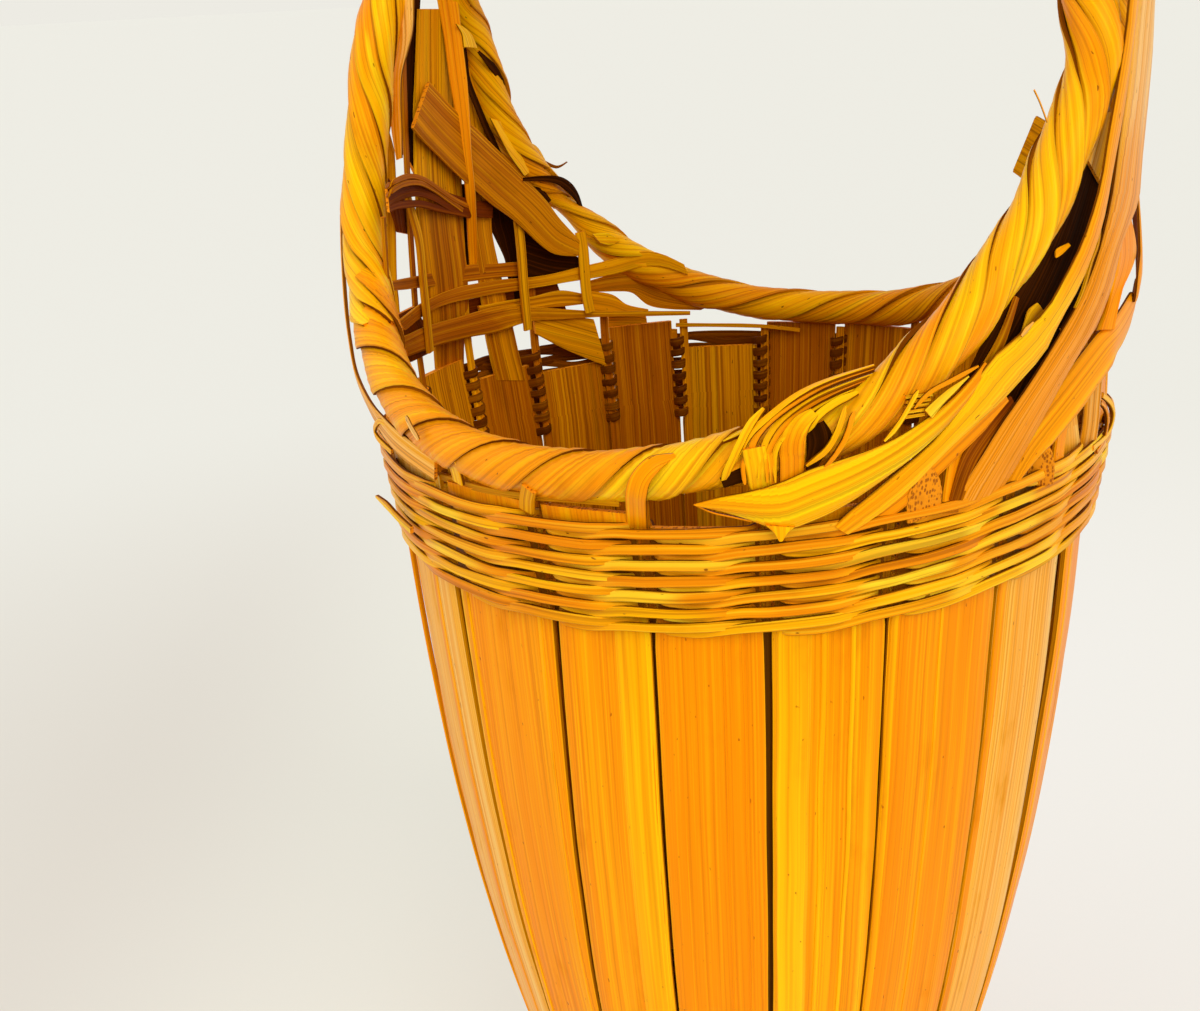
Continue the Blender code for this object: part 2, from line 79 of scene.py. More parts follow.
# The body, on the outer face of the staves
BASE_RADIUS = 45.4 * MM
WALL_RADIUS = 75.3 * MM
RIM_RADIUS = 78.6 * MM
WALL_HEIGHT = 172.6 * MM
BAND_HEIGHT = 22.4 * MM
WALL_SLOPE = 0.06
WALL_ROUNDING = 2.45
SHOULDER_LEAN = 3.5 * MM
SHOULDER_HEIGHT = 85.0 * MM
RIM_HEIGHT = WALL_HEIGHT + BAND_HEIGHT
RIM_DIP = 3.0 * MM
FOOT_BAND_BOTTOM = 6.0 * MM
FOOT_BAND_HEIGHT = 13.0 * MM

# Staves, in order from the left front
STAVE_SHARES = (1.26, 1.09, 0.93, 0.98, 1.02, 1.15, 1.17, 0.85) + (1.0,) * 5
STAVE_SHARES += (0.93, 1.02, 0.89) + (1.0,) * 5
STAVE_COUNT = len(STAVE_SHARES)
FIRST_EDGE = math.radians(-140.5)

# Hoops: each point of a line has its angle in degrees, its rise as a share of the shoulder's
# height, and how far it lies outside the hoop's radius, as a share of that
HOOP_RADIUS = 77.0 * MM
CORE_RADIUS = 3.1 * MM
ROLL_RADIUS = 4.7 * MM
ARCH_SPRING = 62.0 * MM
ARCH_RISE = 81.0 * MM
ARCH_HALF_SPAN = 75.0 * MM
LEG_HALF_GAP = 19.8 * MM
CROWN_HALF_GAP = 5.2 * MM
CROWN_START = 55.0
ARCH_DEGREES = (20, 35, 50, 65, 77.5, 90, 102.5, 115, 130, 145, 160)
FRONT_LINE = (
    (-165, 0.918, -0.013), (-165.2, 0.794, 0.014), (-164.5, 0.624, 0.044), (-162.1, 0.447, 0.057),
    (-157.9, 0.341, 0.036), (-148.7, 0.229, 0.012), (-136, 0.142, 0), (-121, 0.085, 0),
    (-107, 0.058, 0), (-92, 0.059, 0), (-78, 0.088, 0), (-65, 0.135, 0), (-53.2, 0.207, 0),
    (-41.6, 0.341, 0), (-34.5, 0.441, -0.009), (-26.9, 0.541, -0.013), (-21.2, 0.655, -0.012),
    (-16.5, 0.774, 0.004), (-15, 0.882, 0.008),
)
BACK_LINE = (
    (162, 0.918, -0.026), (159.8, 0.788, -0.032), (156.5, 0.665, -0.032), (150, 0.524, -0.026),
    (138.9, 0.364, -0.013), (130, 0.24, 0), (117, 0.124, 0), (103, 0.061, 0), (89, 0.047, 0),
    (74, 0.061, 0), (62, 0.112, 0), (50, 0.206, 0), (40, 0.329, 0), (31, 0.471, -0.013),
    (24, 0.612, -0.013), (19, 0.741, -0.006), (16, 0.871, 0),
)

GLOSS_TINT = (1.0, 0.66, 0.2, 1.0)
GRAIN_UV = "grain"
STRIP_MARK = "strip"
FINE_ANGLE = math.radians(38.0)

# Cross-sections: where an edge rounds off, and the share of that on the back
EDGE_PLACE = 0.99
BACK_FALL = 0.6
LEAST_HALF = 0.15 * MM
ROUGH_EDGE = 0.25 * MM

# How a width changes along a strip
EVEN = ((0, 1), (1, 1))
TAIL = ((0, 0.3), (0.1, 1), (0.8, 1), (1, 0.4))
SPIKE = ((0, 1), (0.6, 0.7), (1, 0.1))
TIP = ((0, 1), (0.45, 0.98), (0.72, 0.74), (0.9, 0.4), (1, 0.12))


class Slot(Enum):
    """The material slots that the suits name."""

    STAVE = "stave"
    STAKE = "stake"
    BASE = "woven_base"
    STRAND = "strand"
    SPLINT = "splint"
    CORE = "core"


# ---- shape of the body


def around(angle: float, radius: float, height: float) -> Vector:
    """Give a point at an angle round the basket's axis."""
    return Vector((radius * math.cos(angle), radius * math.sin(angle), height))


def rim_point(x: float, y: float, z: float) -> Vector:
    """Give a point from millimetres, with its height measured from the rim."""
    return Vector((x * MM, y * MM, z * MM + RIM_HEIGHT))


def wall_radius(height: float) -> float:
    """Give the radius of the staves' outer face at a height above the base."""
    if height <= WALL_HEIGHT:
        rounding = WALL_RADIUS - BASE_RADIUS - WALL_SLOPE * WALL_HEIGHT
        share = 1.0 - (1.0 - height / WALL_HEIGHT) ** WALL_ROUNDING
        return BASE_RADIUS + WALL_SLOPE * height + rounding * share
    if height <= RIM_HEIGHT:
        share = (height - WALL_HEIGHT) / BAND_HEIGHT
        return WALL_RADIUS + (RIM_RADIUS - WALL_RADIUS) * share
    return RIM_RADIUS - SHOULDER_LEAN * ((height - RIM_HEIGHT) / SHOULDER_HEIGHT) ** 2


def rim_height(angle: float) -> float:
    """Give the height of the rim band's upper edge, which dips at the front and the back."""
    return RIM_HEIGHT - RIM_DIP * math.sin(angle) ** 2


def stave_edges() -> list[float]:
    """Give the angle of each gap between two staves, in order round the basket."""
    turn = 2 * math.pi / sum(STAVE_SHARES)
    edges = [FIRST_EDGE]
    for share in STAVE_SHARES:
        edges.append(edges[-1] + share * turn)
    return edges


EDGES = stave_edges()


def along_profile(profile: Profile, share: float) -> float:
    """Read a value off a list of (place, value) pairs by straight lines between them."""
    previous = profile[0]
    for place, value in profile:
        if share <= place:
            if place == previous[0]:
                return value
            mix = (share - previous[0]) / (place - previous[0])
            return previous[1] + (value - previous[1]) * mix
        previous = (place, value)
    return previous[1]


def wander(place: float, seed: float) -> float:
    """Give a smooth irregular value between about -1 and 1 that depends on a place and a seed."""
    lines = (seed * step + start for step, start in zip(SEED_STEP, SEED_START))
    return noise.noise(Vector((place, *lines)))


def clamp(value: float, low: float = 0.0, high: float = 1.0) -> float:
    """Keep a value between two limits."""
    return min(max(value, low), high)


def smooth_through(points: Sequence[Vector], steps: int, closed: bool = False) -> list[Vector]:
    """Give points along a smooth curve through the given points.

    Args:
        points: The points that the curve runs through.
        steps: How many pieces each stretch between two points is cut into.
        closed: Whether the curve comes back to its first point.

    Returns:
        The points of the curve, without a repeat of the first one where it is closed.
    """
    count = len(points)
    result = []
    for i in range(count if closed else count - 1):
        places = (i + k for k in (-1, 0, 1, 2))
        a, b, c, d = (
            points[k % count if closed else clamp(k, 0, count - 1)] for k in places)
        for step in range(steps):
            t = step / steps
            part = 2 * b + (c - a) * t + (2 * a - 5 * b + 4 * c - d) * t * t
            result.append((part + (3 * b - a - 3 * c + d) * t ** 3) / 2)
    if not closed:
        result.append(points[-1].copy())
    return result


def outward_at(point: Vector) -> Vector:
    """Give the direction away from the basket's axis, or from the handle's middle above it."""
    centre = Vector((0.0, 0.0, min(point.z, RIM_HEIGHT + ARCH_SPRING)))
    return (point - centre).normalized()


def square_to(out: Vector, tangent: Vector) -> Vector:
    """Give the direction nearest to the given one that is square to a tangent."""
    return (out - out.dot(tangent) * tangent).normalized()


class Route:
    """A curve with the distance along it and a frame that turns with it without twisting."""

    def __init__(self, points: Sequence[Vector]) -> None:
        """Measure the curve and carry a frame along it."""
        self.points = list(points)
        self.distances = [0.0]
        for a, b in zip(self.points, self.points[1:]):
            self.distances.append(self.distances[-1] + (b - a).length)
        self.length = self.distances[-1]
        last = len(self.points) - 1
        self.tangents = [
            (self.points[min(i + 1, last)] - self.points[max(i - 1, 0)]).normalized()
            for i in range(last + 1)
        ]
        normal = Vector((0.0, 1.0, 0.0))
        self.normals = []
        for tangent in self.tangents:
            normal = square_to(normal, tangent)
            self.normals.append(normal)

    def frame(self, distance: float) -> tuple[Vector, Vector, Vector, Vector]:
        """Give the point, the tangent and two cross directions at a distance along the curve."""
        distance = clamp(distance, 0.0, self.length)
        i = clamp(bisect_right(self.distances, distance) - 1, 0, len(self.points) - 2)
        share = (distance - self.distances[i]) / (self.distances[i + 1] - self.distances[i])
        point = self.points[i].lerp(self.points[i + 1], share)
        tangent = self.tangents[i].lerp(self.tangents[i + 1], share).normalized()
        normal = square_to(self.normals[i].lerp(self.normals[i + 1], share), tangent)
        return point, tangent, normal, tangent.cross(normal)

    def round_point(self, distance: float, turn: float, radius: float) -> Vector:
        """Give a point on the tube of this radius round the curve."""
        point, _, normal, side = self.frame(distance)
        return point + radius * (math.cos(turn) * normal + math.sin(turn) * side)

    def nearest(self, point: Vector) -> float:
        """Give the distance along the curve of its point that is nearest to the given one."""
        gaps = [(place - point).length for place in self.points]
        return self.distances[gaps.index(min(gaps))]


# ---- the photograph's view


@dataclass(frozen=True)
class Sight:
    """The photograph's camera, which turns a place in the picture into a place on the basket."""

    eye: Place = (102.377, -315.083, 283.133)
    forward: Place = (-0.37817, 0.86744, -0.32331)
    up: Place = (-0.07852, 0.31793, 0.94486)
    lens: float = 45.48
    sensor: float = 36.0
    width: float = 1200.0
    height: float = 1011.0

    def axes(self) -> tuple[Vector, Vector, Vector]:
        """Give the camera's right, up and forward directions."""
        forward = Vector(self.forward).normalized()
        up = square_to(Vector(self.up), forward)
        return forward.cross(up), up, forward

    def ray(self, x: float, y: float) -> Vector:
        """Give the direction in which the camera sees a pixel."""
        right, up, forward = self.axes()
        focal = self.lens / self.sensor * self.width
        ray = forward * focal + right * (x - self.width / 2) - up * (y - self.height / 2)
        return ray.normalized()

    def on_wall(self, x: float, y: float, radius: float, far: bool = False) -> Vector:
        """Give the point seen at a pixel on a round wall about the basket's axis.

        Args:
            x: The pixel's column in the photograph.
            y: The pixel's row.
            radius: The wall's radius in millimetres.
            far: Whether the point is on the far side of the wall.

        Returns:
            The point, or the nearest one to the axis where the ray misses the wall.
        """
        eye, ray = Vector(self.eye) * MM, self.ray(x, y)
        flat = ray.x * ray.x + ray.y * ray.y
        middle = -(eye.x * ray.x + eye.y * ray.y) / flat
        rest = (eye.x ** 2 + eye.y ** 2 - (radius * MM) ** 2) / flat
        reach = math.sqrt(max(middle * middle - rest, 0.0))
        return eye + ray * (middle + reach if far else middle - reach)

    def at_depth(self, x: float, y: float, depth: float) -> Vector:
        """Give the point seen at a pixel where Y has the given value in millimetres."""
        eye, ray = Vector(self.eye) * MM, self.ray(x, y)
        return eye + ray * ((depth * MM - eye.y) / ray.y)


SIGHT = Sight()


def spread(reach: Reach, count: int) -> list[float]:
    """Spread one value, or a short row of values, evenly over a number of places."""
    if isinstance(reach, (int, float)):
        return [float(reach)] * count
    profile = [(i / (len(reach) - 1), value) for i, value in enumerate(reach)]
    return [along_profile(profile, i / (count - 1)) for i in range(count)]


def shown(
    where: Callable[[float, float, float], Vector], reach: Reach,
    pixels: Sequence[tuple[float, float]],
) -> tuple[Vector, ...]:
    """Give the points that pixels show, each at its own reach."""
    return tuple(where(*pixel, value) for pixel, value in zip(pixels, spread(reach, len(pixels))))


def near(radii: Reach, *pixels: tuple[float, float]) -> tuple[Vector, ...]:
    """Give points on the near side from radii in millimetres and the pixels that show them."""
    return shown(SIGHT.on_wall, radii, pixels)


def far(radii: Reach, *pixels: tuple[float, float]) -> tuple[Vector, ...]:
    """Give points on the far side from radii in millimetres and the pixels that show them."""
    return shown(partial(SIGHT.on_wall, far=True), radii, pixels)


def deep(depths: Reach, *pixels: tuple[float, float]) -> tuple[Vector, ...]:
    """Give points from their Y in millimetres and the pixels that show them."""
    return shown(SIGHT.at_depth, depths, pixels)


# ---- strips


@dataclass
class Section:
    """One cross-section of a strip: its outer row of points, its inner row and its place."""

    outer: list[Vector]
    inner: list[Vector]
    along: float
    half: float


def flat_section(
    point: Vector, tangent: Vector, out: Vector, half: float, thickness: float, along: float,
    columns: Sequence[float] = (-1.0, -0.86, 0.0, 0.86, 1.0), round_off: float = 0.3,
    cup: float = 0.0,
) -> Section:
    """Make the cross-section of a flat strip.

    Args:
        point: The middle of the section.
        tangent: The direction in which the strip runs.
        out: The direction in which its face looks.
        half: Half its width.
        thickness: Its thickness.
        along: The distance along the strip.
        columns: The places of the points from one edge, -1, to the other, 1.
        round_off: How far the two edges fall back, as a share of the thickness.
        cup: How far the middle stands out beyond the edges.

    Returns:
        The section, its outer row on the side of `out`.
    """
    out = square_to(out, tangent)
    across = tangent.cross(out)
    outer, inner = [], []
    for place in columns:
        bow = cup * (1.0 - place * place)
        fall = thickness * round_off if abs(place) > EDGE_PLACE else 0.0
        centre = point + across * (place * half) + out * bow
        outer.append(centre + out * (thickness / 2 - fall))
        inner.append(centre - out * (thickness / 2 - fall * BACK_FALL))
    return Section(outer, inner, along, half)


def placed(name: str, data: bpy.types.ID) -> bpy.types.Object:
    """Put a new object with this data in the scene."""
    piece = bpy.data.objects.new(name, data)
    bpy.context.collection.objects.link(piece)
    return piece


class Skin(Enum):
    """The three kinds of surface on a strip."""

    FACE = 0
    BACK = 1
    CUT = 2


class StripMesh:
    """Collects strips into one mesh, with the grain's coordinates along each of them."""

    # The grain's place for a seed: steps and spans each way, and the back's distance from the face
    SHIFT_STEP = (3.17, 1.31)
    SHIFT_SPAN = (11.0, 7.0)
    BACK_SHIFT = 0.05

    def __init__(self) -> None:
        """Start with nothing."""
        self.points: list[Vector] = []
        self.marks: list[tuple[float, float, float]] = []
        self.faces: list[list[int]] = []
        self.grain: list[tuple[float, float]] = []
        self.skins: list[int] = []

    def add(
        self, sections: Sequence[Section], tone: Tone, seed: float,
        closed: bool = False,
    ) -> "StripMesh":
        """Add one strip.

        Args:
            sections: Its cross-sections in order.
            tone: From 0, pale, to 1, ripe, or how it changes along the strip.
            seed: A number that shifts its grain.
            closed: Whether it runs back into its first section.

        Returns:
            This mesh.
        """
        columns = len(sections[0].outer)
        ring, first = 2 * columns, len(self.points)
        total = max(sections[-1].along, 1e-6)
        shift = [seed * step % span for step, span in zip(self.SHIFT_STEP, self.SHIFT_SPAN)]
        places = [2.0 * j / (columns - 1) - 1.0 for j in range(columns)]
        for section in sections:
            self.points += section.outer + section.inner[::-1]
            share = section.along / total
            here = tone if isinstance(tone, float) else along_profile(tone, share)
            self.marks += [(place, share, here) for place in places + places[::-1]]
        pairs = [(i, i + 1) for i in range(len(sections) - 1)]
        if closed:
            pairs.append((len(sections) - 1, 0))
        for low, high in pairs:
            one, two = sections[low], sections[high]
            u0, u1 = one.along, two.along if high > low else total + MM
            for j in range(ring):
                k = (j + 1) % ring
                a, b = first + low * ring, first + high * ring
                self.faces.append([a + j, a + k, b + k, b + j])
                if j < columns - 1:
                    v0, v1, skin = places[j] * one.half, places[j + 1] * one.half, Skin.FACE
                elif columns <= j < ring - 1:
                    v0, v1 = (
                        self.BACK_SHIFT + places[ring - k] * one.half for k in (j + 1, j + 2))
                    skin = Skin.BACK
                else:
                    v0, v1, skin = one.half, one.half + MM, Skin.BACK
                self._grain_quad(u0 + shift[0], u1 + shift[0], v0 + shift[1], v1 + shift[1], skin)
        if not closed:
            self._cap(sections[0], first, columns, shift, False)
            self._cap(sections[-1], first + ring * (len(sections) - 1), columns, shift, True)
        return self

    def _grain_quad(self, u0: float, u1: float, v0: float, v1: float, skin: Skin) -> None:
        """Set the grain's coordinates on the face added last."""
        self.grain += [(u0, v0), (u0, v1), (u1, v1), (u1, v0)]
        self.skins.append(skin.value)

    def _cap(
        self, section: Section, first: int, columns: int, shift: Sequence[float], end: bool
    ) -> None:
        """Close one end of a strip with a row of quads."""
        ring = 2 * columns
        for j in range(columns - 1):
            quad = [first + j, first + ring - 1 - j, first + ring - 2 - j, first + j + 1]
            self.faces.append(quad[::-1] if end else quad)
            v0, v1 = (
                section.half * (2.0 * k / (columns - 1) - 1.0) + shift[1] for k in (j, j + 1))
            corners = [(0.0, v0), (MM, v0), (MM, v1), (0.0, v1)]
            self.grain += corners[::-1] if end else corners
            self.skins.append(Skin.CUT.value)

    def build(self, name: str, dress: "Dress", replaces: Sequence[str] = ()) -> None:
        """Make the object, dress it and let it ride on the basket.

        Args:
            name: The piece's name.
            dress: The finishes of its faces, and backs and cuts.
            replaces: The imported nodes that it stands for.
        """
        data = bpy.data.meshes.new(name)
        data.from_pydata([tuple(p) for p in self.points], [], self.faces)
        layer = data.uv_layers.new(name=GRAIN_UV)
        layer.data.foreach_set("uv", [value for pair in self.grain for value in pair])
        mark = data.attributes.new(STRIP_MARK, "FLOAT_VECTOR", "POINT")
        mark.data.foreach_set("vector", [value for row in self.marks for value in row])
        suit = dress.value
        for finish in (suit.face, suit.back, suit.cut):
            data.materials.append(finish.material())
        data.polygons.foreach_set("material_index", self.skins)
        mesh = bmesh.new()
        mesh.from_mesh(data)
        bmesh.ops.recalc_face_normals(mesh, faces=mesh.faces)
        mesh.to_mesh(data)
        mesh.free()
        data.shade_smooth()
        data.set_sharp_from_angle(angle=FINE_ANGLE)
        piece = placed(name, data)
        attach(piece, "root")
        if replaces:
            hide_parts(*replaces)
        LOG.info("%s: %d faces", name, len(data.polygons))


@dataclass(frozen=True)
class Form:
    """How a flat strip is made, whatever line it follows."""

    thickness: float
    seed: float = 0.0
    # How far its middle stands out beyond its edges, and how far its edges stray
    cup: float = 0.0
    rough: float = ROUGH_EDGE
    # The direction in which its face looks at a point
    facing: Facing = outward_at
    # The places of its points across, where it is laid along its middle and between two edges
    columns: Sequence[float] = (-1.0, -0.86, -0.4, 0.0, 0.4, 0.86, 1.0)
    spanned_columns: Sequence[float] = (-1.0, -0.9, -0.6, -0.2, 0.2, 0.6, 0.9, 1.0)
    # How many pieces a strip between two edges is cut into along its length
    pieces: int = 40

    def laid(
        self, points: Sequence[Vector], width: float, widths: Profile = EVEN, steps: int = 6
    ) -> list[Section]:
        """Lay the strip along a curve on the basket.

        Args:
            points: The points that its middle runs through.
            width: Its full width.
            widths: Shares of the width along it, such as a pointed end.
            steps: Sections between two points.

        Returns:
            The sections of the strip.
        """
        route = Route(smooth_through(points, steps))
        sections = []
        for point, tangent, along in zip(route.points, route.tangents, route.distances):
            out = square_to(self.facing(point), tangent)
            half = width / 2 * along_profile(widths, along / route.length)
            stray = self.rough * wander(along * LAID_WAVES[0], self.seed)
            half += stray * min(1.0, half / FULL_STRAY_HALF)
            lift = 0.3 * self.rough * wander(along * LAID_WAVES[1], self.seed + 5)
            sections.append(flat_section(
                point + out * lift, tangent, out, max(half, LEAST_HALF), self.thickness, along,
                self.columns, cup=self.cup))
        return sections

    def spanned(self, one: Sequence[Vector], two: Sequence[Vector]) -> list[Section]:
        """Lay the strip between the lines of its two edges.

        Args:
            one: The points that one edge runs through.
            two: The points that the other edge runs through, in the same direction.

        Returns:
            The sections of the strip.
        """
        routes = [Route(smooth_through(points, 6)) for points in (one, two)]
        rows = [
            [route.frame(route.length * i / self.pieces)[0] for route in routes]
            for i in range(self.pieces + 1)
        ]
        middles = [(a + b) / 2 for a, b in rows]
        sections, along = [], 0.0
        for i, (a, b) in enumerate(rows):
            ahead = middles[min(i + 1, self.pieces)]
            tangent = (ahead - middles[max(i - 1, 0)]).normalized()
            look = self.facing(middles[i])
            across = b - a
            half = max(across.length / 2, LEAST_HALF)
            if across.length <= 0.05 * MM:
                across = look.cross(tangent)
            across.normalize()
            face = across.cross(tangent).normalized()
            face = face if face.dot(look) > 0 else -face
            stray = self.rough * wander(along * SPANNED_WAVES[0], self.seed)
            stray *= min(1.0, half / FULL_STRAY_HALF)
            outer, inner = [], []
            for place in self.spanned_columns:
                fall = self.thickness * 0.3 if abs(place) > EDGE_PLACE else 0.0
                ripple = wander(along * SPANNED_WAVES[1] + place * 0.7, self.seed + 4.0)
                centre = middles[i] + across * place * (half + stray)
                centre += face * self.cup * (1 - place * place)
                centre += face * FACE_RIPPLE * MM * ripple
                outer.append(centre + face * (self.thickness / 2 - fall))
                inner.append(centre - face * (self.thickness / 2 - fall * BACK_FALL))
            sections.append(Section(outer, inner, along, half))
            along += (ahead - middles[i]).length
        return sections


# ---- finishes


class Board:
    """Places shader nodes in a tree and wires them."""

    def __init__(self, tree: bpy.types.NodeTree) -> None:
        """Take the tree to work in."""
        self.tree = tree
        self.column = 0

    @classmethod
    def on(cls, owner: bpy.types.ID) -> "Board":
        """Turn on the nodes of a material or a world, clear them and give a board for them."""
        owner.use_nodes = True
        owner.node_tree.nodes.clear()
        return cls(owner.node_tree)

    def add(
        self, kind: str, feeds: dict[str | int, object] | None = None, **settings: object
    ) -> bpy.types.Node:
        """Add one node.

        Args:
            kind: Blender's name of the node type, without ShaderNode before it.
            feeds: What goes into its sockets: another node's output or a plain value.
            settings: Its own settings.

        Returns:
            The node.
        """
        prefix = "" if kind.startswith("NodeGroup") else "ShaderNode"
        node = self.tree.nodes.new(prefix + kind)
        self.column += 1
        node.location = (180.0 * self.column, -60.0 * (self.column % 5))
        for key, value in settings.items():
            setattr(node, key, value)
        for key, value in (feeds or {}).items():
            socket = node.inputs[key]
            if isinstance(value, Socket):
                self.tree.links.new(value, socket)
            else:
                socket.default_value = value
        return node

    def maths(self, operation: str, *values: object) -> Socket:
        """Add a Math node and give its result."""
        node = self.add("Math", dict(enumerate(values)), operation=operation)
        return node.outputs[0]

    def times(self, one: object, two: object) -> Socket:
        """Multiply two values."""
        return self.maths("MULTIPLY", one, two)

    def ramp(
        self, value: Socket, low: float, high: float, start: float = 0.0,
        end: float = 1.0,
    ) -> Socket:
        """Map a value between two limits smoothly on to another range."""
        feeds = {"Value": value, "From Min": low, "From Max": high, "To Min": start, "To Max": end}
        node = self.add("MapRange", feeds, interpolation_type="SMOOTHSTEP")
        return node.outputs[0]

    def blend(self, share: object, one: object, two: object) -> Socket:
        """Mix two colours and give the result."""
        return self.add("Mix", {0: share, 6: one, 7: two}, data_type="RGBA").outputs[2]

    def grain_noise(
        self, u: Socket, v: Socket, along: float, across: float,
        detail: float, depth: object = 0.0,
    ) -> Socket:
        """Add noise that is stretched along a strip, with its frequency each way per metre."""
        vector = self.add(
            "CombineXYZ",
            {0: self.times(u, along), 1: self.times(v, across), 2: depth},
        )
        node = self.add(
            "TexNoise",
            {"Vector": vector.outputs[0], "Scale": 1.0, "Detail": detail, "Roughness": 0.6},
        )
        return node.outputs["Fac"]


def paint(red: int, green: int, blue: int) -> Paint:
    """Give a colour for a shader from its screen values."""
    channels = []
    for value in (red, green, blue):
        share = value / 255.0
        channels.append(share / 12.92 if share <= 0.04045 else ((share + 0.055) / 1.055) ** 2.4)
    return (*channels, 1.0)


class FibreGrain:
    """The grain of split bamboo: fibres, streaks, blotches, specks and worn edges, and painted
    shade in the band, along edges, under laps and low inside the wall.
    """

    NAME = "bamboo_fibre_grain"
    TINTS = ("Body", "Streak", "Pale", "Shade")
    AMOUNTS = (
        "Streaks", "Specks", "Edge Wear", "Joints", "Fibre Shade", "Band Stain", "Grime", "Tuck",
        "Hollow",
    )

    def group(self) -> bpy.types.NodeTree:
        """Give the node group, building it the first time."""
        tree = bpy.data.node_groups.get(self.NAME)
        if tree:
            return tree
        tree = bpy.data.node_groups.new(self.NAME, "ShaderNodeTree")
        for names, way, kind in (
            (self.TINTS, "INPUT", "Color"), (self.AMOUNTS, "INPUT", "Float"),
            (("Colour",), "OUTPUT", "Color"), (("Polish", "Height"), "OUTPUT", "Float"),
        ):
            for name in names:
                tree.interface.new_socket(name, in_out=way, socket_type=f"NodeSocket{kind}")
        self._wire(Board(tree))
        return tree

    def _wire(self, board: Board) -> None:
        """Lay out the group's nodes."""
        given = board.add("NodeGroupInput").outputs
        uv = board.add("UVMap", uv_map=GRAIN_UV)
        place = board.add("SeparateXYZ", {0: uv.outputs[0]}).outputs
        mark = board.add("Attribute", attribute_name=STRIP_MARK)
        marks = board.add("SeparateXYZ", {0: mark.outputs["Vector"]}).outputs
        spot = board.add("NewGeometry").outputs[0]
        level = board.add("SeparateXYZ", {0: spot}).outputs[2]
        u, v, tone = place[0], place[1], marks[2]
        edge = board.maths("ABSOLUTE", marks[0])
        fibres = board.grain_noise(u, v, 9.0, 2300.0, 2.0)
        threads = board.grain_noise(u, v, 6.0, 1150.0, 2.0, tone)
        streaks = board.grain_noise(u, v, 2.2, 300.0, 2.0, tone)
        blotches = board.grain_noise(u, v, 38.0, 120.0, 4.0)
        specks = board.grain_noise(u, v, 420.0, 1500.0, 1.0)
        joints = board.grain_noise(u, v, 34.0, 3.0, 0.0)

        def dose(mask: Socket, amount: str) -> Socket:
            """Scale a mask by one of the group's amounts."""
            return board.times(mask, given[amount])

        ripe = board.maths("ADD", streaks, board.times(tone, 0.44))
        young = board.maths("SUBTRACT", streaks, board.times(tone, 0.22))
        light = board.ramp(fibres, 0.5, 0.66, 0.0, 0.5)
        light = board.times(light, board.ramp(tone, 0.0, 1.0, 1.0, 0.4))
        stain = board.ramp(blotches, 0.56, 0.8, 0.0, 0.34)
        fleck = dose(board.ramp(specks, 0.73, 0.79), "Specks")
        colour = given["Body"]
        for share, tint in (
            (board.ramp(ripe, 0.42, 0.86), "Streak"),
            (dose(board.ramp(young, 0.44, 0.66), "Streaks"), "Pale"),
            (board.times(board.ramp(threads, 0.36, 0.64), 0.42), "Streak"),
            (light, "Pale"),
            (dose(board.ramp(fibres, 0.5, 0.34), "Fibre Shade"), "Shade"),
            (stain, "Shade"),
            (fleck, "Shade"),
            (dose(board.ramp(joints, 0.66, 0.74), "Joints"), "Pale"),
            (dose(board.ramp(edge, 0.84, 1.0), "Edge Wear"), "Pale"),
        ):
            colour = board.blend(share, colour, given[tint])
        # Painted shade: the staves are darker where they run behind the rim band's strands
        foot, top = WALL_HEIGHT - 2 * MM, WALL_HEIGHT + 1 * MM
        high = board.ramp(level, RIM_HEIGHT - 5 * MM, RIM_HEIGHT - 3 * MM, 1.0, 0.0)
        band = board.times(board.ramp(level, foot, top), high)
        dirt = dose(band, "Band Stain")
        for mask, amount in (
            # Painted shade in the crevices along each strip's edges
            (board.ramp(edge, 0.78, 1.0), "Grime"),
            # Painted shade on the side that lies under the next splint's lapping edge
            (board.ramp(marks[0], 0.4, 0.85), "Tuck"),
            # Painted shade on the stakes below the top of the wall, inside it
            (board.ramp(level, foot, top, 1.0, 0.0), "Hollow"),
        ):
            dirt = board.maths("MAXIMUM", dirt, dose(mask, amount))
        # Blend the painted shade towards the shade tint and near-black
        colour = board.blend(dirt, colour, board.blend(0.75, given["Shade"], paint(30, 10, 0)))
        polish = board.maths("ADD", board.ramp(threads, 0.3, 0.7, -0.05, 0.09), stain)
        thick = board.times(threads, 0.8)
        height = board.maths("ADD", board.times(fibres, 0.5), thick)
        height = board.maths("SUBTRACT", height, board.times(fleck, 0.6))
        board.add("NodeGroupOutput", {"Colour": colour, "Polish": polish, "Height": height})


@dataclass(frozen=True)
class Finish:
    """A finish, which makes its material the first time that it is asked for."""

    name: str

    def wire(self, board: Board) -> dict[str, object]:
        """Lay out the nodes and give what goes into the shader's sockets."""
        raise NotImplementedError

    def material(self) -> bpy.types.Material:
        """Give the material."""
        made = bpy.data.materials.get(self.name)
        if not made:
            made = bpy.data.materials.new(self.name)
            board = Board.on(made)
            shader = board.add("BsdfPrincipled", self.wire(board))
            board.add("OutputMaterial", {"Surface": shader.outputs[0]})
        return made


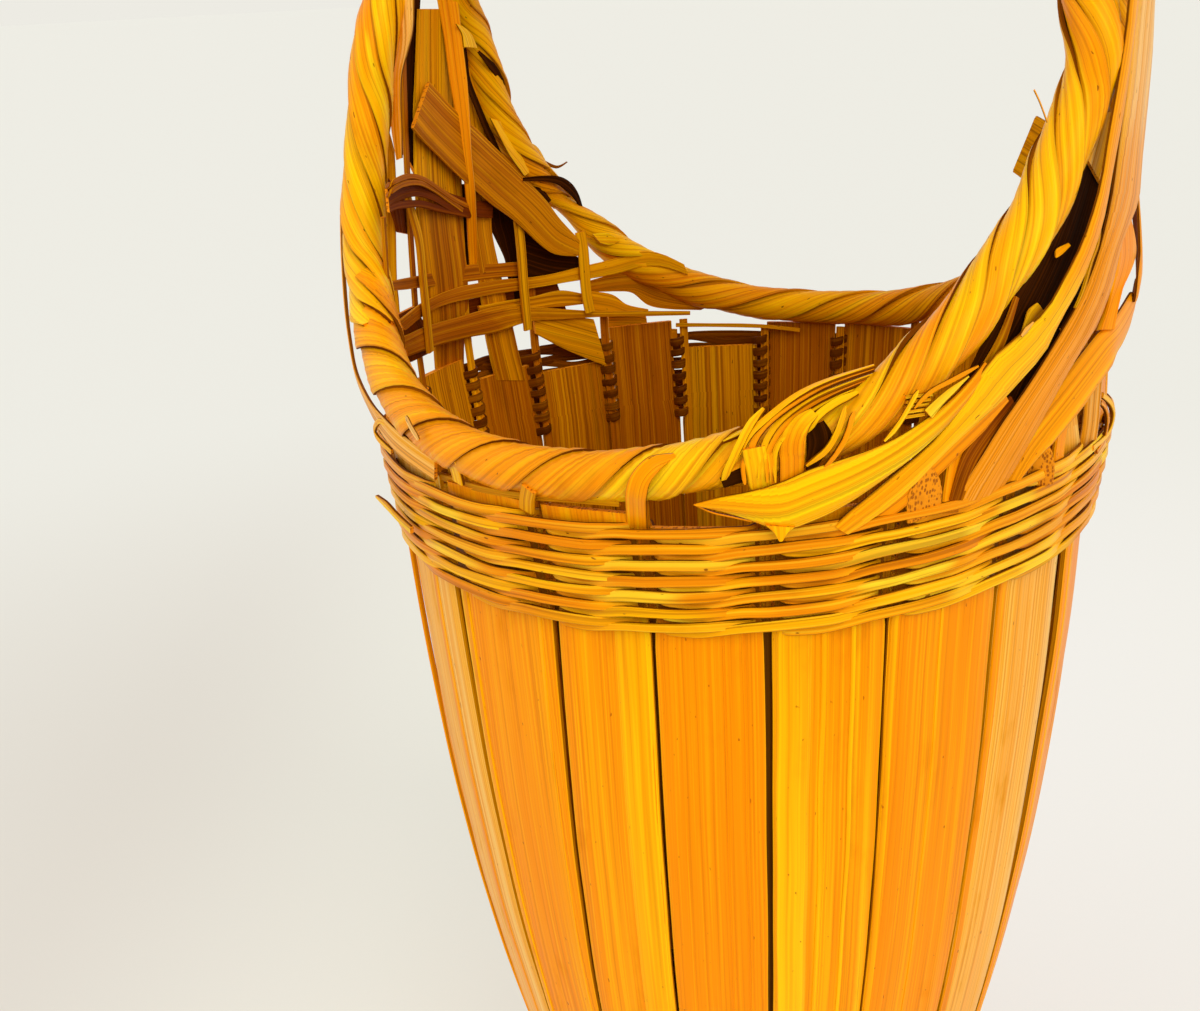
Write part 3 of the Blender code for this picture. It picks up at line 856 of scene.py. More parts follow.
@dataclass(frozen=True)
class Bamboo(Finish):
    """One finish of split bamboo."""

    body: Paint
    streak: Paint
    pale: Paint
    shade: Paint
    streaks: float = 0.8
    specks: float = 0.8
    edge_wear: float = 0.35
    joints: float = 0.0
    fibre_shade: float = 0.35
    # Painted shade: in the rim band, along the edges, beside a lapping splint and low inside the
    # wall
    band_stain: float = 0.0
    grime: float = 0.0
    tuck: float = 0.0
    hollow: float = 0.0
    roughness: float = 0.38
    relief: float = 0.12 * MM
    gloss: float = 0.25

    def wire(self, board: Board) -> dict[str, object]:
        """Lay out the nodes and give what goes into the shader's sockets."""
        grain = board.add("Group", node_tree=FibreGrain().group())
        for name in FibreGrain.TINTS + FibreGrain.AMOUNTS:
            grain.inputs[name].default_value = getattr(self, name.lower().replace(" ", "_"))
        bump = board.add(
            "Bump",
            {"Height": grain.outputs["Height"], "Distance": self.relief, "Strength": 0.8},
        )
        rough = board.maths("ADD", grain.outputs["Polish"], self.roughness)
        return {
            "Base Color": grain.outputs["Colour"], "Roughness": rough, "Normal": bump.outputs[0],
            "Specular IOR Level": self.gloss, "Specular Tint": GLOSS_TINT,
        }


@dataclass(frozen=True)
class CutEnd(Finish):
    """The pitted face where a strip is cut across its fibres."""

    body: Paint
    pore: Paint
    pores: float = 2300.0

    def wire(self, board: Board) -> dict[str, object]:
        """Lay out the nodes and give what goes into the shader's sockets."""
        uv = board.add("UVMap", uv_map=GRAIN_UV)
        place = board.add("SeparateXYZ", {0: uv.outputs[0]}).outputs
        drawn = board.add(
            "CombineXYZ", {0: board.times(place[0], 0.42), 1: place[1]})
        cells = board.add(
            "TexVoronoi",
            {"Vector": drawn.outputs[0], "Scale": self.pores, "Randomness": 0.65})
        pits = board.ramp(cells.outputs["Distance"], 0.2, 0.5)
        cloud = board.add("TexNoise", {"Vector": uv.outputs[0], "Scale": 400.0})
        cloud = board.ramp(cloud.outputs["Fac"], 0.5, 0.8, 0.0, 0.3)
        colour = board.blend(cloud, board.blend(pits, self.pore, self.body), self.pore)
        bump = board.add("Bump", {"Height": pits, "Distance": 0.2 * MM, "Strength": 0.9})
        return {
            "Base Color": colour, "Roughness": 0.7, "Specular IOR Level": 0.15,
            "Normal": bump.outputs[0],
        }


def rind(name: str, *tints: tuple[int, int, int], **amounts: float) -> Bamboo:
    """Make a finish from the screen values of its body, streaks, pale fibres and shade."""
    return Bamboo(name, *(paint(*tint) for tint in tints), **amounts)


# In these finishes, the darkening in the rim band, along the edges, beside lapping splints and low
# on the stakes is painted shade
STAVE_FACE = rind(
    "stave_rind", (253, 168, 0), (246, 140, 0), (255, 204, 8), (182, 84, 0), relief=0.09 * MM,
    fibre_shade=0.3, band_stain=0.8, gloss=0.12)
PALE_FACE = rind(
    "stave_pale_rind", (248, 172, 30), (240, 142, 6), (255, 212, 106), (180, 96, 10),
    relief=0.08 * MM, band_stain=0.8, gloss=0.18)
STAVE_BACK = rind(
    "stave_pith", (238, 154, 0), (174, 90, 0), (250, 180, 4), (92, 40, 0), roughness=0.55,
    relief=0.2 * MM, gloss=0.1, edge_wear=0.2, fibre_shade=0.5)
STRAND_FACE = rind(
    "strand_rind", (254, 182, 0), (232, 132, 0), (255, 218, 44), (130, 58, 0), streaks=0.9,
    joints=0.5, relief=0.24 * MM, roughness=0.36, edge_wear=0.0, fibre_shade=0.45, grime=0.7,
    gloss=0.2)
# Dark backs for strands and splints: painted shade for the basket's inside, with some dirt
STRAND_BACK = rind(
    "strand_pith", (136, 72, 0), (98, 44, 0), (176, 106, 4), (52, 20, 0), roughness=0.6,
    relief=0.2 * MM, gloss=0.08, edge_wear=0.0)
SPLINT_FACE = rind(
    "splint_rind", (255, 186, 0), (244, 142, 0), (255, 214, 10), (150, 70, 0), streaks=0.85,
    relief=0.26 * MM, roughness=0.36, gloss=0.2, edge_wear=0.0, fibre_shade=0.4, grime=0.35)
ROLL_FACE = rind(
    "roll_rind", (255, 192, 0), (248, 146, 0), (255, 220, 20), (136, 60, 0), relief=0.3 * MM,
    roughness=0.36, gloss=0.24, edge_wear=0.0, fibre_shade=0.32, tuck=0.52, grime=0.35)
PEACH_FACE = rind(
    "splint_peach_rind", (248, 174, 26), (236, 140, 0), (254, 208, 122), (150, 76, 0),
    streaks=0.9, relief=0.26 * MM, roughness=0.36, gloss=0.2, edge_wear=0.0, fibre_shade=0.45,
    grime=0.4)
OLD_FACE = rind(
    "splint_old_rind", (216, 142, 0), (160, 80, 0), (246, 184, 4), (96, 46, 0), streaks=0.7,
    relief=0.2 * MM, roughness=0.45, gloss=0.1, edge_wear=0.0, fibre_shade=0.3, grime=0.5)
OLD_ROLL_FACE = rind(
    "roll_old_rind", (255, 184, 0), (230, 130, 0), (255, 208, 4), (88, 38, 0), streaks=0.7,
    relief=0.3 * MM, roughness=0.42, gloss=0.12, edge_wear=0.0, fibre_shade=0.42, tuck=0.8,
    grime=0.4)
# Painted shade darkens the stakes below the top of the wall
STAKE_FACE = rind(
    "stake_rind", (230, 150, 0), (194, 106, 0), (250, 190, 16), (104, 50, 0),
    relief=0.16 * MM, roughness=0.42, gloss=0.12, hollow=0.85)
CORE_FACE = rind(
    "core_rod", (150, 84, 0), (108, 52, 0), (190, 120, 10), (54, 26, 0), relief=0.25 * MM,
    roughness=0.65, gloss=0.1)
# Near-black, for strips put where there is only shade: painted shade
DARK_FACE = rind(
    "stained_pith", (56, 22, 0), (40, 12, 0), (96, 44, 0), (18, 6, 0), relief=0.2 * MM,
    roughness=0.7, gloss=0.05, edge_wear=0.0)
# A dark red-brown; on the fifth left strap, which lies behind the others, it is painted shade
RUST_FACE = rind(
    "rusty_rind", (150, 72, 0), (112, 42, 0), (190, 108, 0), (60, 20, 0), relief=0.24 * MM,
    roughness=0.55, gloss=0.06, edge_wear=0.0, fibre_shade=0.4)
CUT_FACE = CutEnd("cut_end", paint(238, 142, 0), paint(176, 92, 0))


@dataclass(frozen=True)
class Suit:
    """The finishes of a strip's face, back and cut ends, and its material slot."""

    face: Finish
    back: Finish
    slot: Slot
    cut: Finish = CUT_FACE


class Dress(Enum):
    """The suits that a strip can wear."""

    STAVE = Suit(STAVE_FACE, STAVE_BACK, Slot.STAVE)
    PALE = Suit(PALE_FACE, STAVE_BACK, Slot.STAVE)
    PORES = Suit(CUT_FACE, STAVE_BACK, Slot.STAVE)
    STAKE = Suit(STAKE_FACE, STAVE_BACK, Slot.STAKE)
    BASE = Suit(STAKE_FACE, STAVE_BACK, Slot.BASE)
    STRAND = Suit(STRAND_FACE, STRAND_BACK, Slot.STRAND)
    CORE = Suit(CORE_FACE, CORE_FACE, Slot.CORE)
    SPLINT = Suit(SPLINT_FACE, STRAND_BACK, Slot.SPLINT)
    ROLL = Suit(ROLL_FACE, STRAND_BACK, Slot.SPLINT)
    OLD_ROLL = Suit(OLD_ROLL_FACE, STAVE_BACK, Slot.SPLINT)
    PEACH = Suit(PEACH_FACE, STRAND_BACK, Slot.SPLINT)
    OLD = Suit(OLD_FACE, STAVE_BACK, Slot.SPLINT)
    # Painted shade: near-black strips where there is only shade
    DARK = Suit(DARK_FACE, DARK_FACE, Slot.SPLINT)
    RUST = Suit(RUST_FACE, RUST_FACE, Slot.SPLINT)


# ---- uprights


@dataclass
class Staves:
    """The flat hand-split uprights of the wall."""

    thickness: float = 1.4 * MM
    flatness: float = 0.55
    foot: float = 0.3 * MM
    rows: int = 46
    swell: float = 0.35 * MM
    edge_stray: float = 0.16 * MM
    edge_fall: float = 0.35 * MM
    # Over what height a gap opens in the band, and a tongue takes its own width
    band_spread: float = 5 * MM
    tongue_spread: float = 7 * MM
    tongue_height: float = 84 * MM
    # Slivers: how far they run into the band, how deep they sit in millimetres, the share of
    # their width that each edge takes, how far they stray, and how near they come to the edge
    sliver_reach: float = 4 * MM
    sliver_depth: float = 0.3
    sliver_edge: float = 0.12
    sliver_stray: float = 0.012
    sliver_limit: float = 0.999
    columns: Row = (-1.0, -0.93, -0.6, -0.2, 0.2, 0.6, 0.93, 1.0)
    # Width of each gap below the rim band, in order from the left front
    gaps: Row = (
        0.6, 2.6, 1.4, 1.0, 1.5, 0.6, 1.1, 5.0, 1.2, 1.0, 1.2, 0.8, 1.1, 1.0, 1.3, 0.9, 1.1, 0.8,
        1.3, 1.0, 0.9,
    )
    # Share of that width which a gap keeps at the foot
    narrowing: float = 0.45
    band_gap: float = 2.8 * MM
    # Height of each stave's top above the rim
    tops: Row = (
        1.0, 1.5, 1.8, -1.0, 1.4, 1.0, 34.0, 42.0, 58.0, 1.0, 2.5, 3.0, 2.5, 2.5, -3.8, 3.0, -6.5,
        -4.5, 1.5, 14.0, 1.0,
    )
    tones: Row = (
        0.1, 0.7, 0.55, 1.0, 0.45, 0.75, 0.2, 0.8, 0.4, 0.7, 0.9, 0.3, 0.6, 0.8, 0.35, 0.75, 0.5,
        0.9, 0.4, 0.7, 0.6,
    )
    pale: tuple[int, ...] = (1, 7, 12, 17)
    # Slivers on the faces: stave, left and right edge as shares of its width, rise in millimetres
    # and tone
    slivers: tuple[tuple[int, float, float, float, float], ...] = (
        (1, 0.5, 0.62, 0.2, 0.6), (2, 0.0, 0.1, 0.3, 0.2), (2, 0.86, 0.9, 0.15, 0.0),
        (3, 0.63, 0.99, 0.18, 0.0), (4, 0.62, 0.64, 0.12, 0.9), (4, 0.8, 0.82, 0.12, 0.9),
        (5, 0.0, 0.34, 0.55, 0.0), (5, 0.42, 0.48, 0.25, 0.0), (5, 0.69, 0.74, 0.22, 0.0),
        (6, 0.0, 0.07, 0.35, 0.0), (6, 0.47, 0.5, 0.15, 0.0), (7, 0.0, 0.1, 0.3, 0.5),
        (8, 0.2, 0.36, 0.2, 0.1),
    )
    # Staves that rise as tongues: their half width up there and their tops' lean in degrees
    tongues: tuple[Place, ...] = ((7, 7.5, -2.0), (8, 7.5, 0.0), (9, 7.5, 1.0), (20, 6.5, 4.0))
    # Gaps that stray from their place below the band, in degrees at the band and at the foot
    leans: ClassVar[dict[int, tuple[float, float]]] = {
        1: (-2.8, -1.3), 2: (0.6, -4.4), 3: (0.3, -1.8),
    }

    def edge_angle(self, edge: int, height: float) -> float:
        """Give the angle of a gap's middle at a height."""
        upper, foot = self.leans.get(edge % STAVE_COUNT, (0.0, 0.0))
        lean = foot + (upper - foot) * min(height / WALL_HEIGHT, 1.0)
        lean *= clamp((RIM_HEIGHT - height) / BAND_HEIGHT)
        return EDGES[edge] + math.radians(lean)

    def half_gap(self, edge: int, height: float) -> float:
        """Give half the width of a gap at a height; it widens where the strands pass."""
        narrow = self.gaps[edge % STAVE_COUNT] * MM / 2
        narrow *= self.narrowing + (1.0 - self.narrowing) * min(height / WALL_HEIGHT, 1.0)
        angle = EDGES[edge % STAVE_COUNT]
        share = clamp((height - (rim_height(angle) - BAND_HEIGHT)) / self.band_spread)
        return narrow + max(self.band_gap / 2 - narrow, 0.0) * share

    def sections(self, index: int) -> list[Section]:
        """Give the cross-sections of one stave from its foot to its top."""
        middle = (EDGES[index] + EDGES[index + 1]) / 2
        tongue = {number: (half * MM, math.radians(lean)) for number, half, lean in self.tongues}
        top = rim_height(middle) + self.tops[index] * MM
        result = []
        for row in range(self.rows + 1):
            height = self.foot + (top - self.foot) * row / self.rows
            radius = wall_radius(height)
            swell = self.swell * wander(height * 30.0, index + 0.5)
            rise = height - rim_height(middle)
            edges = []
            for side, way in ((0, 1), (1, -1)):
                edge = self.edge_angle(index + side, height)
                edge += way * self.half_gap(index + side, height) / radius
                edge += self.edge_stray * wander(height * 45.0, index * 2.0 + side) / radius
                if rise > 0 and index + 1 in tongue:
                    half, lean = tongue[index + 1]
                    lean *= rise / self.tongue_height
                    share = min(rise / self.tongue_spread, 1.0)
                    edge += (middle + lean - way * half / radius - edge) * share
                edges.append(edge)
            centre, reach = (edges[0] + edges[1]) / 2, (edges[1] - edges[0]) / 2
            outer, inner = [], []
            for place in self.columns:
                angle = centre + place * reach
                chord = radius * math.cos(reach) / math.cos(place * reach)
                depth = radius + (chord - radius) * self.flatness + swell
                depth += radius * (1 - math.cos(reach)) * self.flatness * 0.5
                fall = self.edge_fall if abs(place) > EDGE_PLACE else 0.0
                outer.append(around(angle, depth - fall, height))
                inner.append(around(angle, depth - self.thickness + fall * BACK_FALL, height))
            result.append(Section(outer[::-1], inner[::-1], height, reach * radius))
        return result

    def sliver(self, index: int, left: float, right: float, rise: float) -> list[Section]:
        """Give the cross-sections of a raised sliver on a stave's face, below the rim band.

        Args:
            index: The stave.
            left: The sliver's left edge as a share of the stave's width.
            right: Its right edge.
            rise: How far it stands out, in millimetres.

        Returns:
            The sections, from the foot to just inside the band.
        """
        result = []
        for section in self.sections(index):
            if section.along > WALL_HEIGHT + self.sliver_reach:
                break
            face = section.outer[::-1]
            outer, inner = [], []
            edge = self.sliver_edge * (right - left)
            for share, up in ((left, 0.1), (left + edge, 1.0), (right - edge, 1.0), (right, 0.1)):
                stray = self.sliver_stray * wander(section.along * 40.0, index + 7.0 * left)
                place = clamp(2.0 * (share + stray) - 1.0, -self.sliver_limit, self.sliver_limit)
                j = max(k for k, column in enumerate(self.columns) if column <= place)
                j = min(j, len(self.columns) - 2)
                mix = (place - self.columns[j]) / (self.columns[j + 1] - self.columns[j])
                point = face[j].lerp(face[j + 1], mix)
                out = Vector((point.x, point.y, 0.0)).normalized()
                outer.append(point + out * rise * MM * up)
                inner.append(point - out * self.sliver_depth * MM)
            half = (right - left) * section.half
            result.append(Section(outer[::-1], inner[::-1], section.along, half))
        return result

    def build(self) -> None:
        """Make every stave and the slivers on them."""
        mesh = StripMesh()
        for number, left, right, rise, tone in self.slivers:
            mesh.add(self.sliver(number - 1, left, right, rise), tone, number + 9.0 * left)
        mesh.build("stave_slivers", Dress.STAVE)
        for index in range(STAVE_COUNT):
            dress = Dress.PALE if index + 1 in self.pale else Dress.STAVE
            mesh = StripMesh().add(self.sections(index), self.tones[index], index + 1.0)
            number = f"{index + 1:02d}"
            mesh.build(f"split_stave_{number}", dress, [f"stave_{number}"])


@dataclass
class Stakes:
    """The thin uprights behind the gaps, which carry the rolls."""

    width: float = 2.4 * MM
    foot_width: float = 1.5 * MM
    thickness: float = 1.0 * MM
    inset: float = 1.7 * MM
    foot: float = 0.4 * MM
    stray: float = 0.25 * MM
    steps: int = 18
    # Height of each stake's top above the rim, in order from the left front
    tops: Row = (
        7.0, 4.0, 3.0, 5.0, 8.0, 14.0, 34.0, 66.0, 84.0, 60.0, 30.0, 14.0, 5.0, 2.0, 2.0, 4.0, 12.0,
        40.0, 82.0, 86.0, 44.0,
    )
    # How far each stands to the side of its gap, in degrees
    shifts: Row = (
        0.3, -0.2, 0.3, 0.0, -0.3, 0.2, 0.0, 0.5, -0.4, 0.3, 0.0, -0.2, 0.4, -0.5, -0.6, -1.3, 0.4,
        -0.5, 0.2, 0.6, 0.0,
    )

    def build(self) -> None:
        """Make every stake."""
        for index in range(STAVE_COUNT):
            angle = EDGES[index] + math.radians(self.shifts[index])
            top = rim_height(angle) + self.tops[index] * MM
            points = []
            for step in range(self.steps + 1):
                height = self.foot + (top - self.foot) * step / self.steps
                stray = self.stray * wander(height * 26.0, index + 31.0)
                radius = wall_radius(height) - self.inset - self.thickness / 2
                points.append(around(angle + stray / radius, radius, height))
            foot = self.foot_width / self.width
            form = Form(
                self.thickness, index + 40.0, rough=0.12 * MM, columns=(-1.0, -0.5, 0.5, 1.0))
            widths = ((0.0, foot), (0.2, foot), (0.6, 1.0), (1.0, 0.9))
            sections = form.laid(points, self.width, widths, 2)
            tone = random.Random(index + 3).random()
            number = f"{index + 1:02d}"
            mesh = StripMesh().add(sections, tone, index + 61.0)
            mesh.build(f"stake_rod_{number}", Dress.STAKE, [f"stake_{number}"])


# ---- twined bands


@dataclass
class TwinedBand:
    """Rows of paired strands twined round the staves.

    The number of gaps is odd, so the two strands of a row are one closed strand that goes round
    twice, and lies outside one gap and inside the next.
    """

    name: str
    node: str
    rows: int
    height: float
    bottom_at: Callable[[float], float]
    strand_height: float = 2.05 * MM
    thickness: float = 0.95 * MM
    # Gaps passed, then distance outside the staves' face and rise, both in millimetres
    weave: tuple[Place, ...] = (
        (0.00, -3.3, -0.2), (0.045, -3.0, -0.4), (0.085, -1.2, -0.8), (0.15, 0.55, -1.2),
        (0.30, 0.55, -1.6), (0.45, 0.65, -1.6), (0.62, 1.2, -0.9), (0.80, 1.65, -0.2),
        (1.00, 1.75, 0.0), (1.25, 1.7, 0.1), (1.50, 1.6, 0.2), (1.67, 1.1, 0.35),
        (1.84, 0.6, 0.4), (1.915, -1.2, 0.3), (1.955, -3.0, 0.1),
    )

    # How a strand strays up and down: how far in millimetres, waves for each gap, and seed
    strays: tuple[Place, ...] = ((0.42, 0.9, 3.0), (0.3, 2.3, 23.0))

    def point(self, gaps: float, out: float, rise: float, row: int) -> Vector:
        """Give a point of a row's strand from how many gaps it has passed."""
        whole = math.floor(gaps)
        index = whole % STAVE_COUNT
        angle = EDGES[index] + (EDGES[index + 1] - EDGES[index]) * (gaps - whole)
        pitch = self.height / self.rows
        level = self.bottom_at(angle) + pitch * (row + 0.5) + rise * MM
        for size, waves, seed in self.strays:
            level += size * MM * wander(gaps * waves, row + seed)
        out += 0.25 * wander(gaps * 2.1, row + 17.0)
        return around(angle, wall_radius(level) + out * MM, level)

    def strand(self, row: int) -> list[Section]:
        """Give the cross-sections of one row's strand."""
        keys = [
            self.point(2.0 * lap + gaps + row % 2, out, rise, row)
            for lap in range(STAVE_COUNT) for gaps, out, rise in self.weave
        ]
        points = smooth_through(keys, 3, closed=True)
        count = len(points)
        sections, along = [], 0.0
        for i, point in enumerate(points):
            tangent = (points[(i + 1) % count] - points[i - 1]).normalized()
            half = self.strand_height / 2 * (1.0 + 0.26 * wander(along * 45.0, row + 50.0))
            sections.append(flat_section(
                point, tangent, tangent.cross(UP), half, self.thickness, along,
                columns=(-1.0, -0.7, 0.7, 1.0), round_off=0.34, cup=0.1 * MM))
            along += (points[(i + 1) % count] - point).length
        return sections

    def build(self) -> None:
        """Make every row."""
        for row in range(self.rows):
            draw = random.Random(row * 7 + 1)
            tones = [(step / 40.0, draw.random()) for step in range(41)]
            mesh = StripMesh().add(self.strand(row), tones, row + 81.0, closed=True)
            mesh.build(f"{self.name}_{row + 1}", Dress.STRAND, [self.node])


# ---- base


@dataclass
class PlaitedBase:
    """The floor of the basket, plaited from flat strips."""

    radius: float = 41.5 * MM
    strips: int = 9
    thickness: float = 1.1 * MM
    swing: float = 0.65 * MM
    middle: float = 1.5 * MM
    ring_radius: float = 41.2 * MM
    ring_level: float = 0.55 * MM
    steps: int = 36

    def build(self) -> None:
        """Make the two layers of strips as one piece each way, and the ring under them."""
        pitch = 2 * self.radius / self.strips
        nodes = ["woven_base"]
        for way in (0, 1):
            mesh = StripMesh()
            for row in range(self.strips):
                offset = pitch * (row + 0.5) - self.radius
                reach = math.sqrt(max(self.radius ** 2 - offset ** 2, 0.0))
                points = []
                for step in range(self.steps + 1):
                    place = reach * (2.0 * step / self.steps - 1.0)
                    wave = math.cos(math.pi * (place / pitch + row + way))
                    level = self.middle + self.swing * wave * 0.75
                    spot = (offset, place) if way else (place, offset)
                    points.append(Vector((*spot, level)))
                form = Form(
                    self.thickness * 0.8, row + way * 20.0, rough=0.1 * MM,
                    facing=lambda point: UP, columns=(-1.0, -0.8, 0.0, 0.8, 1.0))
                sections = form.laid(points, pitch * 0.94, steps=1)
                mesh.add(sections, (row * 0.37 + way * 0.2) % 1.0, row + way * 13.0 + 101.0)
            mesh.build(f"plaited_base_{way + 1}", Dress.BASE, nodes)
        ring = [
            around(math.radians(10.0 * step), self.ring_radius, self.ring_level)
            for step in range(38)
        ]
        sections = Form(0.5 * MM, 61.0, facing=lambda point: UP).laid(ring, 6.0 * MM)
        StripMesh().add(sections, 0.5, 62.0).build("base_ring", Dress.BASE, nodes)


# ---- rolls


def hoop_line(line: Sequence[Place], side: int) -> list[Vector]:
    """Give the points that one hoop runs through: over the handle, then along the rim."""
    points = []
    for degrees in ARCH_DEGREES:
        turn = math.radians(degrees)
        from_foot = min(degrees, 180.0 - degrees)
        spread = math.cos(math.radians(90.0 * min(from_foot / CROWN_START, 1.0))) ** 2
        depth = CROWN_HALF_GAP + (LEG_HALF_GAP - CROWN_HALF_GAP) * spread
        height = RIM_HEIGHT + ARCH_SPRING + ARCH_RISE * math.sin(turn)
        points.append(Vector((ARCH_HALF_SPAN * math.cos(turn), side * depth, height)))
    for degrees, rise, outset in line:
        radius = HOOP_RADIUS * (1.0 + outset)
        points.append(around(math.radians(degrees), radius, RIM_HEIGHT + rise * SHOULDER_HEIGHT))
    return points


def hoop_route(line: Sequence[Place], side: int) -> Route:
    """Give a hoop's middle line from the handle's crown, down the left leg and round to it."""
    steps = 10
    points = smooth_through(hoop_line(line, side), steps, closed=True)
    start = ARCH_DEGREES.index(90.0) * steps
    return Route(points[start:] + points[: start + 1])


@dataclass
class Zone:
    """A stretch of a roll that one set of splints covers."""

    start: float
    end: float
    splints: int
    lead: float
    cover: float = 1.12
    phase: float = 0.0
    swell: float = 0.0


@dataclass
class Roll:
    """A hoop's rod and the splints that are twisted round it."""

    name: str
    core_node: str
    wrap_node: str
    route: Route
    zones: list[Zone]
    inner: float = 3.55 * MM
    thickness: float = 0.75 * MM
    step: float = 1.6 * MM
    seed: float = 1.0
    dress: Dress = Dress.ROLL
    # A place where the roll is drawn in: its distance along the roll, its reach and how far
    waist: Place = (0.0, 1.0, 0.0)
    columns: Row = (-1.0, -0.84, -0.42, 0.0, 0.42, 0.84, 1.0)
    # Splints: how far they stray in their turn, in their width and outwards, over what length an
    # end tapers and to what share, and how far one edge laps over the next splint
    turn_stray: float = 0.16
    width_stray: float = 0.13
    proud: float = 0.8 * MM
    taper: float = 14 * MM
    end_share: float = 0.35
    lap: float = 1.15

    def girth(self, distance: float) -> float:
        """Give the roll's thickness at a distance, as a share of its usual one."""
        place, reach, depth = self.waist
        return 1.0 - depth * math.exp(-(((distance - place) / reach) ** 2))

    def core(self) -> None:
        """Make the rod inside the roll."""
        sections = []
        sides = 6
        for distance in self.route.distances[:-1]:
            radius = CORE_RADIUS * self.girth(distance)
            ring = [
                self.route.round_point(distance, math.pi * (j + 0.5) / sides, radius)
                for j in range(2 * sides)
            ]
            sections.append(Section(ring[:sides], ring[sides:][::-1], distance, 5 * MM))
        mesh = StripMesh().add(sections, 0.5, self.seed + 200.0, closed=True)
        mesh.build(f"{self.name}_core", Dress.CORE, [self.core_node])

    def splint(self, zone: Zone, index: int, seed: float) -> list[Section]:
        """Give the cross-sections of one splint of a zone."""
        count = max(int((zone.end - zone.start) / self.step), 4)
        base = self.inner + zone.swell * MM
        radius = base + self.thickness
        slant = math.atan(2 * math.pi * radius / zone.lead)
        spread = zone.lead / zone.splints * math.sin(slant) * zone.cover / 2
        sections, along = [], 0.0
        for i in range(count + 1):
            share = i / count
            middle = zone.start + (zone.end - zone.start) * share
            turn = zone.phase + 2 * math.pi * index / zone.splints
            turn -= 2 * math.pi * (middle - zone.start) / zone.lead
            turn += self.turn_stray * wander(middle * 30.0, seed)
            edge = min(share, 1.0 - share) * (zone.end - zone.start)
            taper = min(1.0, self.end_share + edge / self.taper)
            half = spread * taper * (1.0 + self.width_stray * wander(middle * 42.0, seed + 3.0))
            proud = self.proud * max(wander(middle * 50.0, seed + 9.0), -0.3)
            outer, inner = [], []
            girth = self.girth(middle)
            for place in self.columns:
                distance = middle + place * half * math.sin(slant)
                angle = turn + place * half * math.cos(slant) / radius
                lift = self.thickness * (0.1 + self.lap * (place + 1.0) / 2)
                lift += proud * (place + 1.0) / 2
                lift -= self.thickness * 0.25 if abs(place) > EDGE_PLACE else 0.0
                top = base * girth + self.thickness + lift
                outer.append(self.route.round_point(distance, angle, top))
                inner.append(self.route.round_point(distance, angle, base * girth + lift * 0.9))
            sections.append(Section(outer[::-1], inner[::-1], along, half))
            along += self.step / math.cos(slant)
        return sections

    def build(self) -> None:
        """Make the rod and every splint."""
        self.core()
        number = 0
        for zone in self.zones:
            for index in range(zone.splints):
                number += 1
                seed = self.seed + number * 1.7
                draw = random.Random(int(seed * 10))
                tones = [(step / 8.0, draw.random()) for step in range(9)]
                mesh = StripMesh().add(self.splint(zone, index, seed), tones, seed + 300.0)
                mesh.build(f"{self.name}_splint_{number:02d}", self.dress, [self.wrap_node])


@dataclass
class CrownBinding:
    """One splint wound round both hoops along the handle's crown."""

    turns: int = 13
    thickness: float = 0.9 * MM
    end_steps: int = 10
    start: float = 51.0
    gap: float = 0.4 * MM
    overlap: float = 0.035
    grain_step: float = 1.9 * MM

    def outline(self, grow: float) -> list[tuple[float, float]]:
        """Give the outline round the two rolls: two half rounds joined by straight runs."""
        radius = ROLL_RADIUS + grow
        outline = []
        for side, first in ((1, -90.0), (-1, 90.0)):
            for step in range(self.end_steps + 1):
                turn = math.radians(first + 180.0 * step / self.end_steps)
                across = side * CROWN_HALF_GAP + radius * math.cos(turn)
                outline.append((across, radius * math.sin(turn)))
        return outline

    def point(self, degrees: float, across: float, out: float) -> Vector:
        """Give a point beside the middle line of the crown."""
        turn = math.radians(degrees)
        point = Vector((ARCH_HALF_SPAN * math.cos(turn), 0.0, ARCH_RISE * math.sin(turn)))
        normal = Vector((math.cos(turn) / ARCH_HALF_SPAN, 0.0, math.sin(turn) / ARCH_RISE))
        point += normal.normalized() * out
        return point + Vector((0.0, across, RIM_HEIGHT + ARCH_SPRING))

    def build(self) -> None:
        """Make the binding."""
        low, high = self.outline(self.gap), self.outline(self.gap + self.thickness)
        steps = len(low)
        pitch = (180.0 - 2 * self.start) / (self.turns + 1)
        sections = []
        for i in range(self.turns * steps + 1):
            middle = self.start + pitch / 2 + pitch * i / steps
            half = pitch / 2 * (1.04 + 0.1 * wander(i * 0.11, 5.0))
            near, far = low[i % steps], high[i % steps]
            outer, inner = [], []
            for place in (-1.0, -0.8, -0.3, 0.3, 0.8, 1.0):
                grow = 1.0 + self.overlap * (place + 1.0)
                fall = 0.93 if abs(place) > EDGE_PLACE else 1.0
                degrees = middle + place * half
                outer.append(self.point(degrees, far[0] * grow, far[1] * grow * fall))
                inner.append(self.point(degrees, near[0] * grow, near[1] * grow))
            sections.append(Section(outer, inner, i * self.grain_step, 5 * MM))
        mesh = StripMesh().add(sections, 0.4, 401.0)
        mesh.build("crown_binding", Dress.SPLINT, ["handle_binding"])


# ---- shoulders and loose work


